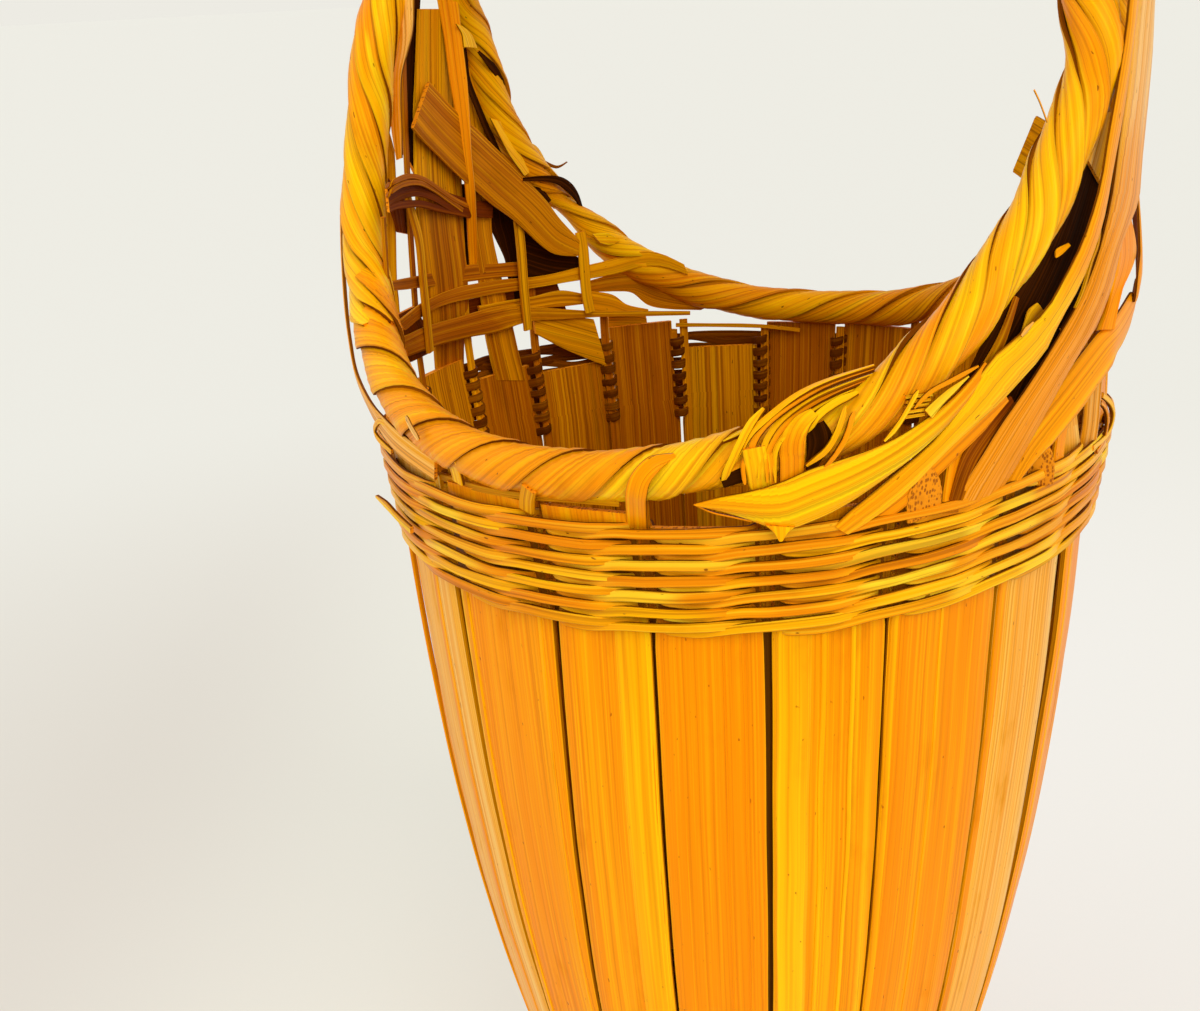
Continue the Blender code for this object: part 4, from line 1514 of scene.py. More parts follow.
@dataclass
class Strip:
    """One named strip, given by its lines in the picture and its sizes in millimetres."""

    name: str
    points: Sequence[Vector]
    # Its width round that middle line, or its other edge where the line is one edge
    span: float | Sequence[Vector]
    thickness: float = 0.8
    dress: Dress = Dress.SPLINT
    tone: Tone = 0.4
    widths: Profile = EVEN
    cup: float = 0.0
    nodes: tuple[str, ...] = ()
    rough: float = 0.25
    facing: Facing = outward_at

    def build(self, seed: float) -> None:
        """Make the strip."""
        form = Form(self.thickness * MM, seed, self.cup * MM, self.rough * MM, self.facing)
        if isinstance(self.span, float):
            sections = form.laid(self.points, self.span * MM, self.widths)
        else:
            sections = form.spanned(self.points, self.span)
        StripMesh().add(sections, self.tone, seed + 500.0).build(self.name, self.dress, self.nodes)


@dataclass
class LooseWork:
    """A group of loose strips, whose irregularities are counted on from the first one's."""

    first_seed: int
    strips: Sequence[Strip]

    def build(self) -> None:
        """Make every strip."""
        for index, strip in enumerate(self.strips):
            strip.build(float(self.first_seed + index))


def towards_sight(point: Vector) -> Vector:
    """Give the direction from a point to where the photograph was taken from, level."""
    way = Vector(SIGHT.eye) * MM - point
    return Vector((way.x, way.y, 0.0)).normalized()


# Where, on the way to the front, a strip starts to turn to the camera, over what length it does,
# and how far
TURN_START = 4 * MM
TURN_REACH = 20 * MM
TURN_SHARE = 0.75


def half_turned(point: Vector) -> Vector:
    """Give the direction between outwards and towards the photograph's camera, on its side."""
    share = clamp((TURN_START - point.y) / TURN_REACH)
    return outward_at(point).lerp(towards_sight(point), TURN_SHARE * share)


# The way of the widest splint up the right leg, its other edge, and the way of the one behind
HIGH_LEG = (rim_point(80.5, -10, 92), rim_point(75, -8.5, 101), rim_point(67.5, -7, 110))
HIGH_LEG_EDGE = (rim_point(81.5, -5, 92), rim_point(76, -4.5, 101), rim_point(68.5, -4, 110))
BACK_RISE = tuple(
    around(math.radians(degrees), radius * MM, RIM_HEIGHT + height * MM)
    for degrees, radius, height in (
        (6.5, 83.4, 30), (9.5, 82.8, 38), (12.5, 82, 46), (15.5, 80.6, 55), (17.5, 79, 64),
        (18.5, 77.5, 72),
    )
)

# The wide splints swept over the right shoulder and what stands behind them
RIGHT_SHOULDER = LooseWork(10, [
    Strip("shoulder_sweep_1", near((80.6, 82, 82.6, 82.6, 82.4, 81.8, 80.6), (696, 503),
        (720, 497), (750, 492), (780, 483), (810, 470), (840, 460), (870, 449), (900, 436),
        (925, 420), (945, 404), (962, 388), (976, 373), (984, 362)),
        near((80.6, 81.2, 81.8, 82.2, 82.4, 81.8, 80.6), (696, 505), (722, 511), (746, 518),
        (768, 526), (788, 529), (812, 521), (838, 509), (868, 491), (900, 467), (925, 446),
        (944, 428), (960, 409), (976, 387), (986, 370)), tone=((0, 0.35), (0.3, 0.15), (0.7, 0.15),
        (1, 0.8)), cup=0.5, nodes=("shoulder_splint_1",)),
    Strip("shoulder_sweep_1_tail", near((80, 80.2, 80), (966, 384), (984, 362), (996, 342),
        (1006, 320), (1015, 296)),
        near((80, 80.2, 80), (977, 392), (992, 366), (1003, 346), (1010, 326), (1018, 298)), 0.6,
        Dress.OLD, tone=((0, 0.2), (1, 1))),
    Strip("shoulder_sweep_1_fold", near(82.2, (765, 525), (773, 532), (779, 541)),
        near(82.4, (795, 527), (788, 533), (783, 541)), 0.5, tone=0.3, rough=0.5),
    Strip("shoulder_sweep_1_under", near((80, 81), (694, 504), (712, 512), (734, 517),
        (752, 521)), 1.2, 0.6, widths=SPIKE[::-1], tone=0.9),
    Strip("shoulder_sweep_2", near((79.8, 80.8, 81.4, 81.8, 82.4, 82.8, 82.8, 82.6),
        (834, 525), (852, 508), (880, 486), (905, 465), (930, 442), (952, 416), (972, 388),
        (990, 360), (1008, 345), (1030, 325), (1046, 308), (1070, 270), (1088, 230), (1099, 190),
        (1106, 150), (1113, 110), (1121, 60), (1127, 20), (1130, -10)) + HIGH_LEG,
        near((79.6, 80.4, 81, 81.6, 82.2, 82.6, 82.8, 82.8), (848, 534), (868, 522), (890, 506),
        (915, 483), (940, 458), (965, 434), (990, 412), (1012, 390), (1030, 370), (1046, 349),
        (1058, 325), (1076, 290), (1094, 246), (1106, 200), (1114, 155), (1122, 110), (1130, 60),
        (1135, 20), (1138, -10)) + HIGH_LEG_EDGE, tone=((0, 0.5), (0.12, 0.3), (0.2, 0), (0.36, 0),
        (0.44, 0.5), (1, 0.4)), cup=0.4, rough=0.5, nodes=("shoulder_splint_2",)),
    Strip("shoulder_sweep_3", near((79.4, 80.8, 81.6, 82, 82.2, 82.4, 82.4), (953, 503),
        (963, 484), (982, 455), (1003, 422), (1027, 388), (1047, 356), (1066, 324), (1082, 294),
        (1096, 258), (1105, 226), (1112, 195), (1118, 150), (1124, 100), (1130, 50), (1136, 0),
        (1140, -20)) + (rim_point(80.8, -5, 94), rim_point(75.5, -4, 103), rim_point(68, -3, 111)),
        near((79.4, 81, 82, 82.6, 83, 83, 83), (1003, 488), (1014, 470), (1030, 441), (1050, 404),
        (1068, 370), (1084, 344), (1096, 325), (1106, 300), (1113, 280), (1122, 240), (1137, 200),
        (1141, 160), (1147, 100), (1151, 50), (1153, 0), (1154, -20)) + (rim_point(82.4, 6, 94),
        rim_point(77, 5.5, 103), rim_point(69.5, 5, 111)), 0.8, Dress.PEACH, tone=((0, 1),
        (0.35, 0.8), (0.55, 0.4), (0.7, 0), (1, 0.1)), cup=0.7, nodes=("shoulder_splint_3",)),
    Strip("shoulder_sweep_4", near((79, 80.4, 81, 81.4, 81.6), (1008, 486), (1030, 448),
        (1067, 400), (1104, 350), (1119, 329), (1131, 304), (1137, 280)) + BACK_RISE, 7.0,
        widths=((0, 0.3), (0.1, 0.9), (0.2, 1), (0.75, 1), (1, 0.6)), tone=0.6, cup=0.4,
        facing=half_turned, nodes=("shoulder_splint_4",)),
    Strip("shoulder_sweep_5", near((79.2, 80, 80.4, 80.8), (866, 524), (902, 498), (940, 462),
        (975, 428), (1006, 398)), 3.6, widths=TAIL, tone=0.9),
    Strip("shoulder_rounded_slat", near(80, (1098, 330), (1108, 300), (1114, 260),
        (1117, 214)),
        near(81.4, (1112, 330), (1121, 290), (1134, 252), (1128, 214)), 1.3, Dress.STAVE, tone=0.7),
    Strip("shoulder_upright_pale", near((80.2, 78.6), (1094, 376), (1092, 402), (1090, 426),
        (1086, 450)), 3.4, 1.0, Dress.PEACH, tone=0.3, facing=half_turned),
    Strip("shoulder_upright_1", near(79.2, (949, 512), (953, 480), (960, 438)), 3.8, 1.0,
        Dress.STAVE, tone=1.0),
    Strip("shoulder_wedge_slat", near((80.2, 80), (1010, 396), (985, 424), (966, 450),
        (958, 470), (950, 500)),
        near((80.2, 80), (1016, 408), (999, 432), (982, 458), (970, 480), (962, 500)), 0.6,
        Dress.RUST, tone=((0, 0.9), (0.4, 0.2), (1, 0))),
    Strip("shoulder_upright_2", near(79.2, (1056, 472), (1059, 440), (1066, 405)), 3.6, 1.0,
        Dress.STAVE, tone=0.9),
    Strip("pitted_tip_1", near((79, 79.9, 80.3, 80.6), (924, 516), (924, 500), (926, 482),
        (928, 466)), 7.2, 1.0, Dress.PORES, widths=TIP),
    Strip("pitted_tip_2", near((79, 79.8, 80.2, 80.4), (1039, 484), (1040, 468), (1041, 452),
        (1042, 438)), 5.4, 1.0, Dress.PORES, widths=TIP, facing=half_turned),
    Strip("shoulder_cross_slat", deep((6, 2), (1037, 116), (1060, 128), (1100, 146)),
        deep((6, 2), (1014, 172), (1040, 190), (1084, 214)), 1.5, Dress.OLD, tone=0.1),
    # A near-black sheet behind the sweeps: painted shade
    Strip("shoulder_inner_1", near(79.3, (925, 455), (955, 400), (990, 330), (1030, 250),
        (1075, 150)),
        near(79.3, (1010, 470), (1040, 400), (1070, 330), (1100, 250), (1118, 150)), 1.0,
        Dress.DARK),
    # A near-black strip in the slit between two sweeps: painted shade
    Strip("shoulder_slit", near(81.2, (1113, 165), (1107, 205), (1098, 250), (1084, 292),
        (1062, 332)), 2.0, 0.5, Dress.DARK),
    Strip("shoulder_slit_sliver", near(82, (1100, 226), (1097, 245), (1091, 262), (1083, 290),
        (1075, 308)), 0.8, 0.5, Dress.OLD, tone=0.0, widths=TAIL),
    Strip("shoulder_inner_3", near(80.2, (1037, 303), (1028, 310), (1024, 322), (1020, 334)),
        near(80.2, (1044, 312), (1038, 322), (1032, 332), (1028, 340)), 0.4, Dress.STAKE, tone=0.4),
    Strip("shoulder_inner_2", near(80.2, (1055, 257), (1057, 249), (1068, 243)),
        near(80.4, (1056, 258), (1062, 254), (1070, 246)), 0.4, Dress.STAVE, tone=0.2),
    Strip("shoulder_triangle", near(79.6, (1086, 160), (1098, 130), (1106, 112)),
        near(79.6, (1100, 184), (1106, 150), (1110, 112)), 0.6, Dress.PEACH, tone=0.2),
    Strip("shoulder_fray_1", near(83, (928, 414), (944, 397), (968, 376)), 2.2, 0.5,
        Dress.STRAND, widths=SPIKE, tone=0.0, rough=0.9),
    Strip("shoulder_fray_2", near(83.4, (1021, 336), (1026, 330), (1033, 322)), 1.1, 0.4,
        Dress.PEACH, widths=((0, 0.4), (0.4, 1), (1, 0.3)), tone=0.0, rough=0.5),
    Strip("shoulder_fray_3", near(83.4, (914, 408), (930, 392), (952, 380), (978, 366)), 0.9,
        0.5, Dress.STRAND, widths=TAIL, tone=0.6, rough=0.5),
    Strip("shoulder_thin_splint", near(83.6, (918, 390), (906, 412), (895, 429), (884, 441)),
        0.9, 0.5, Dress.STRAND, widths=TAIL, tone=0.1),
] + [
    Strip(f"shoulder_rung_{step + 1}",
        near(82, (905, 397 + 5 * step), (932 - 2 * step, 394 + 5 * step)), 0.6, 0.6,
        Dress.STRAND, tone=0.4 * (step % 2))
    for step in range(5)
])

# The straps across the left shoulder, the brace and the uprights inside it
LEFT_SHOULDER = LooseWork(40, [
    Strip("left_strap_weaver_1", far((75.2, 75.4, 75), (391, 281), (430, 273), (470, 265),
        (524, 262)),
        far((75.2, 75.4, 75), (391, 291), (430, 287), (470, 281), (524, 275)), 0.8, Dress.OLD,
        tone=1.0, nodes=("left_strap_1",)),
    Strip("left_strap_weaver_2", far((75, 74, 72.6), (398, 321), (430, 298), (460, 287),
        (500, 280), (540, 276), (580, 267), (610, 260), (640, 251), (662, 254), (684, 264)),
        far((75, 74, 72.6), (404, 330), (430, 311), (460, 301), (500, 293), (540, 287), (580, 280),
        (610, 275), (640, 268), (664, 267), (688, 275)), 0.8, Dress.OLD, tone=((0, 0.8), (0.5, 0.5),
        (0.7, 0), (1, 0)), nodes=("left_strap_2",)),
    Strip("left_strap_weaver_3", far((74.6, 73.8, 73.6), (400, 338), (430, 325), (470, 314),
        (500, 306), (530, 307), (560, 309), (600, 311), (645, 311), (690, 311)),
        far((74.6, 73.8, 73.6), (408, 356), (440, 345), (470, 337), (500, 331), (530, 321),
        (560, 319), (600, 317), (645, 316), (690, 315)), 0.8, Dress.OLD, tone=((0, 0.9), (0.4, 0.9),
        (0.5, 0.3), (1, 0.2)), nodes=("left_strap_3",)),
    Strip("left_strap_weaver_4", far(75.2, (478, 306), (500, 302), (530, 297), (560, 290),
        (586, 294)),
        far(75.2, (482, 319), (500, 315), (530, 309), (560, 307), (586, 304)), 0.8, Dress.OLD,
        tone=0.3),
    # Painted shade: the strap that lies behind the others is dark red-brown
    Strip("left_strap_weaver_5", far(77.4, (422, 320), (450, 304), (480, 297), (520, 285),
        (556, 282)),
        far(77.4, (430, 334), (450, 326), (480, 318), (510, 312), (566, 311)), 0.8, Dress.RUST,
        tone=0.9),
    Strip("left_strap_weaver_6", far(75, (676, 325), (710, 325), (760, 326), (800, 330)), 1.0,
        0.8, Dress.OLD, tone=0.2),
    Strip("left_strap_weaver_7", far(76.4, (588, 281), (620, 273), (650, 270), (690, 282),
        (730, 296)),
        far(76.4, (590, 292), (616, 291), (632, 293), (648, 305), (672, 309), (700, 310)), 0.8,
        Dress.OLD, tone=0.4),
    Strip("left_strap_weaver_8", far(75.6, (588, 291), (612, 294), (627, 304), (648, 309)),
        far(75.6, (587, 309), (608, 314), (628, 315), (648, 313)), 0.8, Dress.OLD, tone=0.1),
    Strip("slanting_brace", far((72.6, 71.4, 71, 71.4), (428, 82), (446, 102), (470, 124),
        (497, 150), (525, 178), (545, 200), (560, 220), (579, 240)),
        far((72.6, 71.4, 71, 71.4), (412, 128), (436, 154), (463, 180), (490, 203), (520, 226),
        (542, 246), (556, 254), (577, 256)), 1.0, Dress.OLD, tone=((0, 0.5), (0.5, 0.6), (1, 0.25)),
        nodes=("shoulder_brace",)),
    Strip("left_wide_slat", far(75.2, (533, 316), (570, 316), (593, 319)),
        far(75.2, (535, 334), (570, 352), (606, 366)), 1.0, Dress.OLD, tone=0.0),
    Strip("left_wide_slat_end", far(79.6, (608, 312), (632, 312), (645, 315), (650, 327),
        (677, 329)),
        far(79.6, (608, 348), (630, 347), (645, 346), (656, 346), (677, 344)), 0.8, Dress.OLD,
        tone=0.0),
    Strip("left_upright_slat", far((74.8, 75, 76, 79.8), (418, 9), (416, 60), (414, 120),
        (415, 175), (418, 230), (424, 275), (430, 320), (434, 350), (438, 392)),
        far((74.8, 75, 76, 79.8), (449, 9), (451, 60), (453, 110), (455, 175), (461, 230),
        (466, 275), (467, 320), (463, 345), (462, 392)), 1.3, Dress.OLD, tone=((0, 0), (0.4, 0.1),
        (0.55, 0.6), (1, 0.8)), nodes=("stave_19",)),
    Strip("left_leaning_slat", far((74.6, 74.8, 76.6), (456, 22), (460, 60), (460, 100),
        (462, 150), (470, 210), (476, 262), (482, 310), (487, 345), (496, 380)),
        far((74.6, 74.8, 76.6), (464, 40), (468, 70), (476, 95), (486, 125), (494, 170), (490, 225),
        (497, 262), (508, 310), (524, 380)), 1.2, Dress.OLD, tone=((0, 0.3), (0.4, 0.4), (0.5, 0.6),
        (1, 0.5)), nodes=("stave_18",)),
    # A near-black slat: painted shade inside the shoulder
    Strip("left_back_slat", far(77.4, (484, 190), (488, 222), (494, 236), (504, 257),
        (507, 272), (512, 300)),
        far(77.4, (524, 190), (526, 222), (528, 236), (528, 257), (528, 272), (530, 300)), 1.0,
        Dress.DARK),
    Strip("left_corner_fill_1", far(77, (384, 176), (388, 200), (392, 215), (397, 232)),
        far(77, (404, 196), (412, 205), (416, 215), (416, 236)), 0.8, Dress.RUST, tone=1.0),
    Strip("left_corner_fill_2", far(76, (394, 316), (400, 335), (410, 362)),
        far(76, (414, 306), (426, 330), (430, 352)), 0.8, Dress.RUST, tone=0.8),
    # Near-black strips in a corner and a gap: painted shade
    Strip("left_dark_corner", far(75.4, (520, 226), (548, 244), (580, 258)),
        far(75.4, (522, 281), (552, 281), (582, 274)), 0.8, Dress.DARK),
    Strip("left_dark_gap", far(77.4, (456, 184), (460, 230), (464, 272)),
        far(77.4, (474, 184), (478, 230), (482, 272)), 0.8, Dress.DARK),
    Strip("left_narrow_stake_1", far((72.6, 71.4, 70.5, 71.6, 77), (446, -12), (452, 30),
        (457, 70), (462, 110), (466, 150), (470, 190), (472, 230), (474, 276)), 2.8, 1.0,
        widths=((0, 1.7), (0.3, 1.5), (0.55, 0.9), (1, 0.8)), tone=0.7, facing=towards_sight),
    Strip("left_narrow_stake_2", far((73.6, 72.8, 73), (405, 184), (411, 210), (419, 240),
        (423, 280), (427, 320), (430, 352)), 3.2, 1.0, Dress.STAKE, widths=((0, 0.5), (0.3, 1),
        (1, 1)), tone=0.5),
    Strip("left_narrow_stake_3", far((72.6, 72.4), (517, 212), (521, 250), (524, 290),
        (528, 330)), 2.6, 1.0, Dress.STAKE, tone=0.2),
    Strip("left_narrow_stake_4", far((72.6, 72.2), (580, 232), (583, 250), (586, 290),
        (590, 312)), 2.8, 1.0, Dress.STAKE, tone=0.0),
    Strip("left_leg_shadow", far(76.2, (403, -14), (405, 40), (402, 80), (401, 142),
        (409, 162)),
        far(76.2, (420, -14), (418, 40), (417, 90), (417, 142), (417, 178)), 0.8, Dress.DARK),
    Strip("left_leg_peach_splint", deep((-17, -15), (383, -30), (382, 0), (386, 24), (390, 46),
        (389, 70), (390, 100), (392, 130), (397, 160)),
        deep((-17, -15), (412, -30), (414, 0), (413, 30), (408, 52), (402, 74), (401, 100),
        (402, 130), (402, 158)), 0.9, Dress.PEACH, tone=((0, 0), (0.4, 0), (0.6, 0.4), (1, 0.4)),
        facing=towards_sight),
    Strip("left_leg_inner_strip", deep((-14, -13, -13, -15), (386, 128), (389, 180),
        (389, 230), (391, 290), (400, 340)), 3.2, 0.9, Dress.OLD, widths=TAIL, tone=0.2,
        facing=lambda point: Vector((0.5, -1.0, 0.1))),
    Strip("left_arc_1", far((71, 70.2, 72.8), (387, 187), (395, 181), (410, 176), (425, 180),
        (440, 190), (455, 200), (470, 207)), 1.1, 0.6, Dress.OLD, tone=0.9),
    Strip("left_arc_2", far((70.8, 70.2, 72.6), (387, 196), (393, 190), (404, 184), (419, 183),
        (434, 190), (448, 200), (462, 210)), 1.1, 0.6, Dress.OLD, tone=0.7),
    Strip("left_arc_3", far((72.4, 71.6, 73.4), (387, 198), (400, 191), (416, 187), (432, 192),
        (450, 202), (470, 208), (492, 210)), 4.0, 0.6, Dress.RUST, tone=1.0),
    Strip("left_arc_4", far((71.6, 71.4, 73), (388, 209), (400, 205), (420, 204), (440, 209),
        (470, 215)), 1.6, 0.6, Dress.RUST, tone=1.0),
    Strip("back_roll_patch", far((70.8, 70, 70.4), (490, 118), (500, 138), (510, 156),
        (524, 176)),
        far((71.4, 73, 75.4), (506, 124), (517, 137), (536, 146), (545, 160)), 0.5, tone=0.1,
        facing=towards_sight),
    Strip("back_roll_flake", far((70, 69.6), (456, 24), (462, 34), (464, 47)),
        far((70, 70.6), (462, 26), (471, 34), (477, 48)), 0.4, tone=0.0, facing=towards_sight),
    # Near-black ties and laps on the back roll: painted shade
    Strip("back_roll_tie_1", far((70.6, 70, 71, 74.6), (522, 178), (540, 176), (558, 176),
        (570, 182), (578, 193), (582, 206)),
        far((70.6, 70, 71, 74.6), (522, 181), (540, 181), (556, 184), (566, 191), (574, 199),
        (580, 208)), 0.6, Dress.DARK),
    Strip("back_roll_tie_2", far(71.6, (532, 186), (542, 189), (551, 200)),
        far(71.6, (538, 194), (543, 199), (548, 203)), 0.5, Dress.DARK),
    Strip("back_roll_lap_1", far((70, 69.8, 71.6), (478, 51), (487, 61), (496, 72), (505, 90)),
        1.9, 0.5, Dress.DARK, widths=((0, 0.3), (0.4, 1), (0.8, 0.9), (1, 0.2)), rough=0.1),
    Strip("back_roll_lap_2", far(72.4, (465, 48), (467, 78), (478, 108), (489, 134),
        (502, 158)), 1.9, 0.5, Dress.DARK, widths=TAIL),
    Strip("back_roll_lap_3", far((71.4, 72.4), (592, 234), (606, 233), (618, 238)),
        far((71.4, 72.4), (600, 243), (610, 245), (620, 241)), 0.4, tone=0.0, facing=towards_sight),
    Strip("back_roll_splinter", far(77.4, (540, 160), (556, 167), (567, 162)), 1.0, 0.5,
        Dress.STRAND, widths=((0, 1), (0.6, 0.8), (1, 0.2)), tone=0.1),
    Strip("outer_left_strip", deep((-22, -28, -41), (342, 215), (343, 255), (346, 305),
        (350, 340), (357, 375)) + near((81.6, 79.8), (372, 408), (390, 434), (410, 452),
        (436, 470)), 5.4, 0.8, Dress.PEACH, widths=((0, 0.12), (0.45, 0.2), (0.62, 0.45),
        (0.75, 0.85), (0.9, 1), (1, 0.8)), tone=0.2),
])

# The ties over the front roll and the strand ends that stand out
LOOSE_ENDS = LooseWork(80, [
    Strip("front_tie_1", near((78.9, 79.8, 81), (527, 510), (527, 499), (529, 488)), 3.4, 0.9,
        Dress.STAKE, tone=0.0),
    Strip("front_tie_2", near((77.6, 80.2, 82.4, 82.9, 82, 80), (637, 528), (636, 508),
        (636, 494), (641, 478), (654, 464), (674, 455)), 3.8, tone=0.6, widths=((0, 1), (0.5, 1),
        (0.8, 0.8), (1, 0.2))),
    Strip("front_tie_3", near((78.9, 79.8, 81), (459, 482), (456, 470), (452, 458)), 3.0, 0.9,
        tone=0.2),
    Strip("front_olive_strip", near((77.6, 78, 77.6), (440, 476), (480, 488), (520, 495),
        (560, 498), (620, 503)), 1.5, 0.8, Dress.OLD, tone=0.3),
    Strip("loose_strand_left", near((83, 82, 81, 80.4), (377, 496), (388, 506), (399, 518),
        (412, 530)), 1.7, 0.8, Dress.STRAND, widths=((0, 0.3), (0.3, 1), (1, 1)), tone=0.3),
    Strip("loose_loop_left", near((80.4, 82, 81.8, 80.6), (392, 452), (378, 438), (375, 428),
        (381, 421), (394, 430)), 1.2, 0.6, Dress.STRAND, tone=0.2),
    Strip("loose_loop_right_1", near((80.4, 81.6, 80.6), (1092, 448), (1107, 434), (1113, 416),
        (1110, 403), (1102, 395)), 1.1, 0.7, Dress.STRAND, tone=0.2),
    Strip("loose_loop_right_2", near((80.4, 81.2, 80.6), (1096, 452), (1104, 438), (1107, 420),
        (1105, 408), (1100, 402)), 1.0, 0.7, Dress.STRAND, tone=0.7),
    Strip("outer_left_stave", [
        around(math.radians(-149 - 0.01 * drop), wall_radius(WALL_HEIGHT - drop * MM)
               + max(0.8, 0.5 + 0.007 * drop) * MM, WALL_HEIGHT + (4.0 - drop) * MM)
        for drop in range(0, 151, 10)], 2.2, 1.2, Dress.STAVE, tone=0.3,
        widths=((0, 1), (0.8, 0.9), (1, 0.6))),
    Strip("hair_right", near(75, (1034, 90), (1040, 103), (1047, 122)), 0.3, 0.2, Dress.PEACH,
        tone=0.0, widths=((0, 0.4), (1, 1))),
    Strip("flake_left", near(83, (406, 416), (411, 427), (419, 440)), 1.3, 0.4, Dress.PEACH,
        tone=0.0, widths=TAIL),
    Strip("gap_backing", [
        around(math.radians(119.0), wall_radius(height * MM) - 2.4 * MM, height * MM)
        for height in range(160, 70, -15)], 3.4, 0.8, Dress.STAKE, tone=0.9),
])


@dataclass
class Lashing:
    """The narrow splints tied over the front roll."""

    route: Route

    def away(self, point: Vector) -> Vector:
        """Give the direction away from the roll's middle."""
        return point - self.route.frame(self.route.nearest(point))[0]

    def strips(self) -> list[Strip]:
        """Give the folded ties and the narrow strips that fan over the roll."""
        over = (82.4, 82.8, 82.2, 80, 77.6, 76.6)
        narrow = (
            ("strip_1", over, 1.2, 0.3,
             ((735, 462), (748, 437), (768, 418), (797, 396), (828, 381), (874, 366))),
            ("strip_2", over, 1.2, 0.9,
             ((747, 462), (757, 436), (775, 417), (803, 398), (832, 384), (874, 370))),
            ("strip_3", over, 1.1, 0.1,
             ((758, 478), (763, 449), (778, 424), (806, 402), (836, 388), (876, 374))),
            ("strip_4", over, 1.0, 0.7,
             ((767, 482), (769, 452), (784, 427), (810, 406), (840, 391), (876, 378))),
            ("strip_5", over, 1.0, 0.0,
             ((775, 482), (775, 452), (789, 430), (813, 410), (842, 395), (872, 384))),
            ("end_1", (82.6, 82.4, 81, 80), 1.4, 0.0,
             ((806, 433), (818, 416), (836, 403), (858, 393))),
            ("end_2", (81.6, 83, 83, 82.2), 1.1, 0.2,
             ((846, 406), (838, 430), (826, 450), (806, 465))),
            ("end_3", (81.8, 83, 83, 82.4), 0.9, 0.8,
             ((854, 411), (846, 436), (834, 456), (820, 471))),
            ("end_4", (81.6, 83, 82.4, 81), 1.5, 0.1,
             ((722, 482), (737, 450), (751, 424), (764, 409))),
            ("end_5", (81, 82.8, 82.6), 1.0, 0.5, ((772, 488), (771, 465), (768, 444))),
            ("end_6", (82.4, 82.8, 82), 0.8, 0.9, ((745, 484), (743, 466), (746, 452))),
        )
        made = [
            Strip(f"lashing_{name}", near(reach, *pixels), width, 0.7, tone=tone,
                widths=TAIL, facing=self.away)
            for name, reach, width, tone, pixels in narrow
        ]
        return made + [
            # Near-black hollows under the lashing: painted shade
            Strip("lashing_hollow_1", near(82.1, (806, 428), (807, 448), (806, 470)),
                near(82.1, (824, 420), (832, 438), (818, 466)), 0.5, Dress.DARK,
                facing=self.away),
            Strip("lashing_hollow_2", near(81.8, (720, 478), (733, 470), (746, 464)),
                near(81.8, (724, 488), (738, 484), (748, 482)), 0.5, Dress.DARK,
                facing=self.away),
            Strip("lashing_tie_1",
                near((80.6, 82.4, 83), (761, 492), (758, 470), (754, 447)), 4.2, tone=0.0,
                facing=self.away, widths=((0, 0.8), (0.3, 1), (1, 1)), nodes=("front_lashing",)),
            Strip("lashing_tie_2",
                near((80.8, 82.6, 83.1, 82), (792, 486), (792, 460), (793, 440), (802, 423),
                     (814, 413)), 4.7, tone=((0.0, 1.0), (0.5, 0.9), (0.8, 0.3), (1.0, 0.0)),
                facing=self.away, widths=((0, 1), (0.6, 1), (1, 0.4)), nodes=("front_lashing",)),
        ]

    def build(self) -> None:
        """Make the lashing."""
        LooseWork(120, self.strips()).build()


# ---- stage


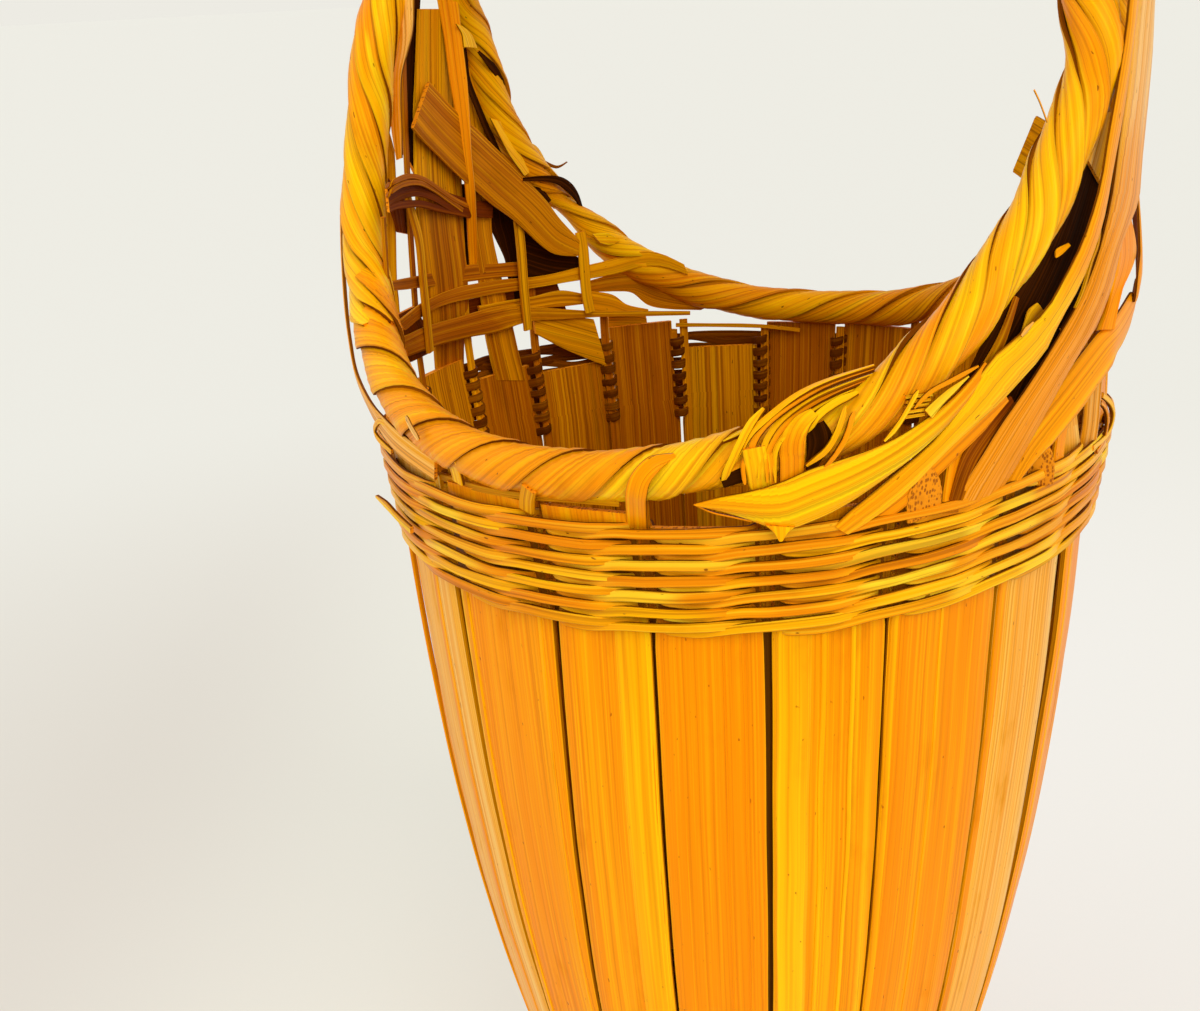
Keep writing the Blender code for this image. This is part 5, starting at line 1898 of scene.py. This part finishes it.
@dataclass
class Stage:
    """The pale floor, the soft light and the camera."""

    floor_half: float = 60.0
    paper: Paint = paint(237, 235, 227)
    sky: float = 0.6

    def seen(self, board: Board) -> Socket:
        """Give 1 where the camera looks, straight, in a reflection or through glass."""
        rays = board.add("LightPath").outputs
        seen = board.maths("MAXIMUM", rays["Is Camera Ray"], rays["Is Glossy Ray"])
        return board.maths("MAXIMUM", seen, rays["Is Transmission Ray"])

    def floor(self) -> None:
        """Make the floor with its faint warm unevenness, and with painted light and shade round the
        basket.
        """
        mesh = bmesh.new()
        bmesh.ops.create_grid(mesh, x_segments=24, y_segments=24, size=self.floor_half)
        data = bpy.data.meshes.new("floor_sheet")
        mesh.to_mesh(data)
        mesh.free()
        made = bpy.data.materials.new("floor_paper")
        board = Board.on(made)
        place = board.add("TexCoord")
        away = board.add("VectorMath", {0: place.outputs["Object"]}, operation="LENGTH")
        grain = board.add(
            "TexNoise", {"Vector": place.outputs["Object"], "Scale": 700.0, "Detail": 2.0}
        )
        tint = board.blend(
            board.ramp(grain.outputs["Fac"], 0.3, 0.7, 0.0, 0.02), self.paper, paint(200, 196, 184)
        )
        side = board.add(
            "VectorMath", {0: place.outputs["Object"], 1: (0.92, 0.38, 0.0)},
            operation="DOT_PRODUCT",
        ).outputs[1]
        # Painted light and shade on the floor for the camera: brighter than the paper round the
        # basket and to its right, darker to its left, the paper's own colour further away
        look = paint(220, 212, 199)
        for share, colour in (
            (board.ramp(side, -0.24, -0.1), paint(240, 238, 224)),
            (board.ramp(side, -0.1, 0.09), paint(248, 245, 239)),
            (board.ramp(away.outputs[1], 0.22, 0.8), paint(238, 237, 228)),
        ):
            look = board.blend(share, look, colour)
        shader = board.add("BsdfPrincipled", {"Base Color": tint, "Roughness": 0.75})
        glow = board.add("Emission", {"Color": look})
        share = board.times(self.seen(board), 0.6)
        mixed = board.add(
            "MixShader", {0: share, 1: shader.outputs[0], 2: glow.outputs[0]})
        board.add("OutputMaterial", {"Surface": mixed.outputs[0]})
        data.materials.append(made)
        placed("floor_sheet", data)

    def lamp(
        self, name: str, place: Place, spread: float, power: float,
        colour: Colour = (1.0, 1.0, 1.0),
    ) -> None:
        """Hang one far, soft lamp that shines from a place towards the basket."""
        data = bpy.data.lights.new(name, "SUN")
        data.angle = math.radians(spread)
        data.energy = power
        data.color = colour
        piece = placed(name, data)
        piece.location = place
        piece.rotation_euler = (-Vector(place)).to_track_quat("-Z", "Y").to_euler()

    def light(self) -> None:
        """Set the world and the lamps."""
        world = bpy.data.worlds.new("studio")
        board = Board.on(world)
        lit, look = (
            board.add("Background", {"Color": colour, "Strength": strength}).outputs[0]
            for colour, strength in (((1.0, 1.0, 1.0, 1.0), self.sky), (self.paper, 1.0))
        )
        mixed = board.add("MixShader", {0: self.seen(board), 1: lit, 2: look})
        board.add("OutputWorld", {"Surface": mixed.outputs[0]})
        bpy.context.scene.world = world
        self.lamp("key", (0.9, -0.9, 0.95), 50.0, 1.6, (1.0, 0.99, 0.97))
        self.lamp("fill", (-1.0, -0.8, 0.6), 70.0, 0.75)

    def camera(self) -> None:
        """Put the camera where the photograph was taken from."""
        data = bpy.data.cameras.new("portrait")
        data.sensor_fit = "HORIZONTAL"
        data.sensor_width = SIGHT.sensor
        data.lens = SIGHT.lens
        data.clip_start = 0.01
        data.clip_end = 200.0
        right, up, forward = SIGHT.axes()
        turn = Matrix((right, up, -forward)).transposed().to_4x4()
        piece = placed("portrait", data)
        piece.matrix_world = Matrix.Translation(Vector(SIGHT.eye) * MM) @ turn
        bpy.context.scene.camera = piece

    def build(self) -> None:
        """Set the stage."""
        self.floor()
        self.light()
        self.camera()
        bpy.context.scene.view_settings.view_transform = "Standard"


def main() -> None:
    """Build and dress the whole basket."""
    logging.basicConfig(level=logging.INFO, format="%(name)s: %(message)s")
    Stage().build()
    Staves().build()
    Stakes().build()
    TwinedBand(
        "rim_strand", "rim_band", 7, BAND_HEIGHT, lambda angle: rim_height(angle) - BAND_HEIGHT
    ).build()
    TwinedBand(
        "foot_strand", "foot_band", 4, FOOT_BAND_HEIGHT, lambda angle: FOOT_BAND_BOTTOM
    ).build()
    PlaitedBase().build()
    front, back = hoop_route(FRONT_LINE, -1), hoop_route(BACK_LINE, 1)
    left = front.nearest(rim_point(-71.0, -34.0, 24.0))
    right = front.nearest(rim_point(31.0, -70.6, 11.5))
    Roll(
        "front_roll", "front_hoop_core", "front_hoop_wrap", front,
        [
            Zone(20 * MM, left + 8 * MM, 5, 68 * MM, 1.15),
            Zone(left - 8 * MM, right + 6 * MM, 2, 32 * MM, 1.1),
            Zone(right - 10 * MM, front.length - 20 * MM, 5, 68 * MM, 1.15, 0.4),
        ],
    ).build()
    torn = back.nearest(rim_point(-63.0, 43.0, 41.0))
    Roll(
        "back_roll", "back_hoop_core", "back_hoop_wrap", back,
        [
            Zone(20 * MM, torn + 6 * MM, 4, 58 * MM, 1.12, swell=-0.2),
            Zone(torn - 6 * MM, back.length - 20 * MM, 3, 56 * MM, 1.12, 0.7, swell=-0.4),
        ],
        seed=50.0, dress=Dress.OLD_ROLL,
        waist=(back.nearest(rim_point(-61, 46, 35)), 9 * MM, 0.62),
    ).build()
    for work in (CrownBinding(), Lashing(front), RIGHT_SHOULDER, LEFT_SHOULDER, LOOSE_ENDS):
        work.build()


if __name__ == "__main__":
    main()
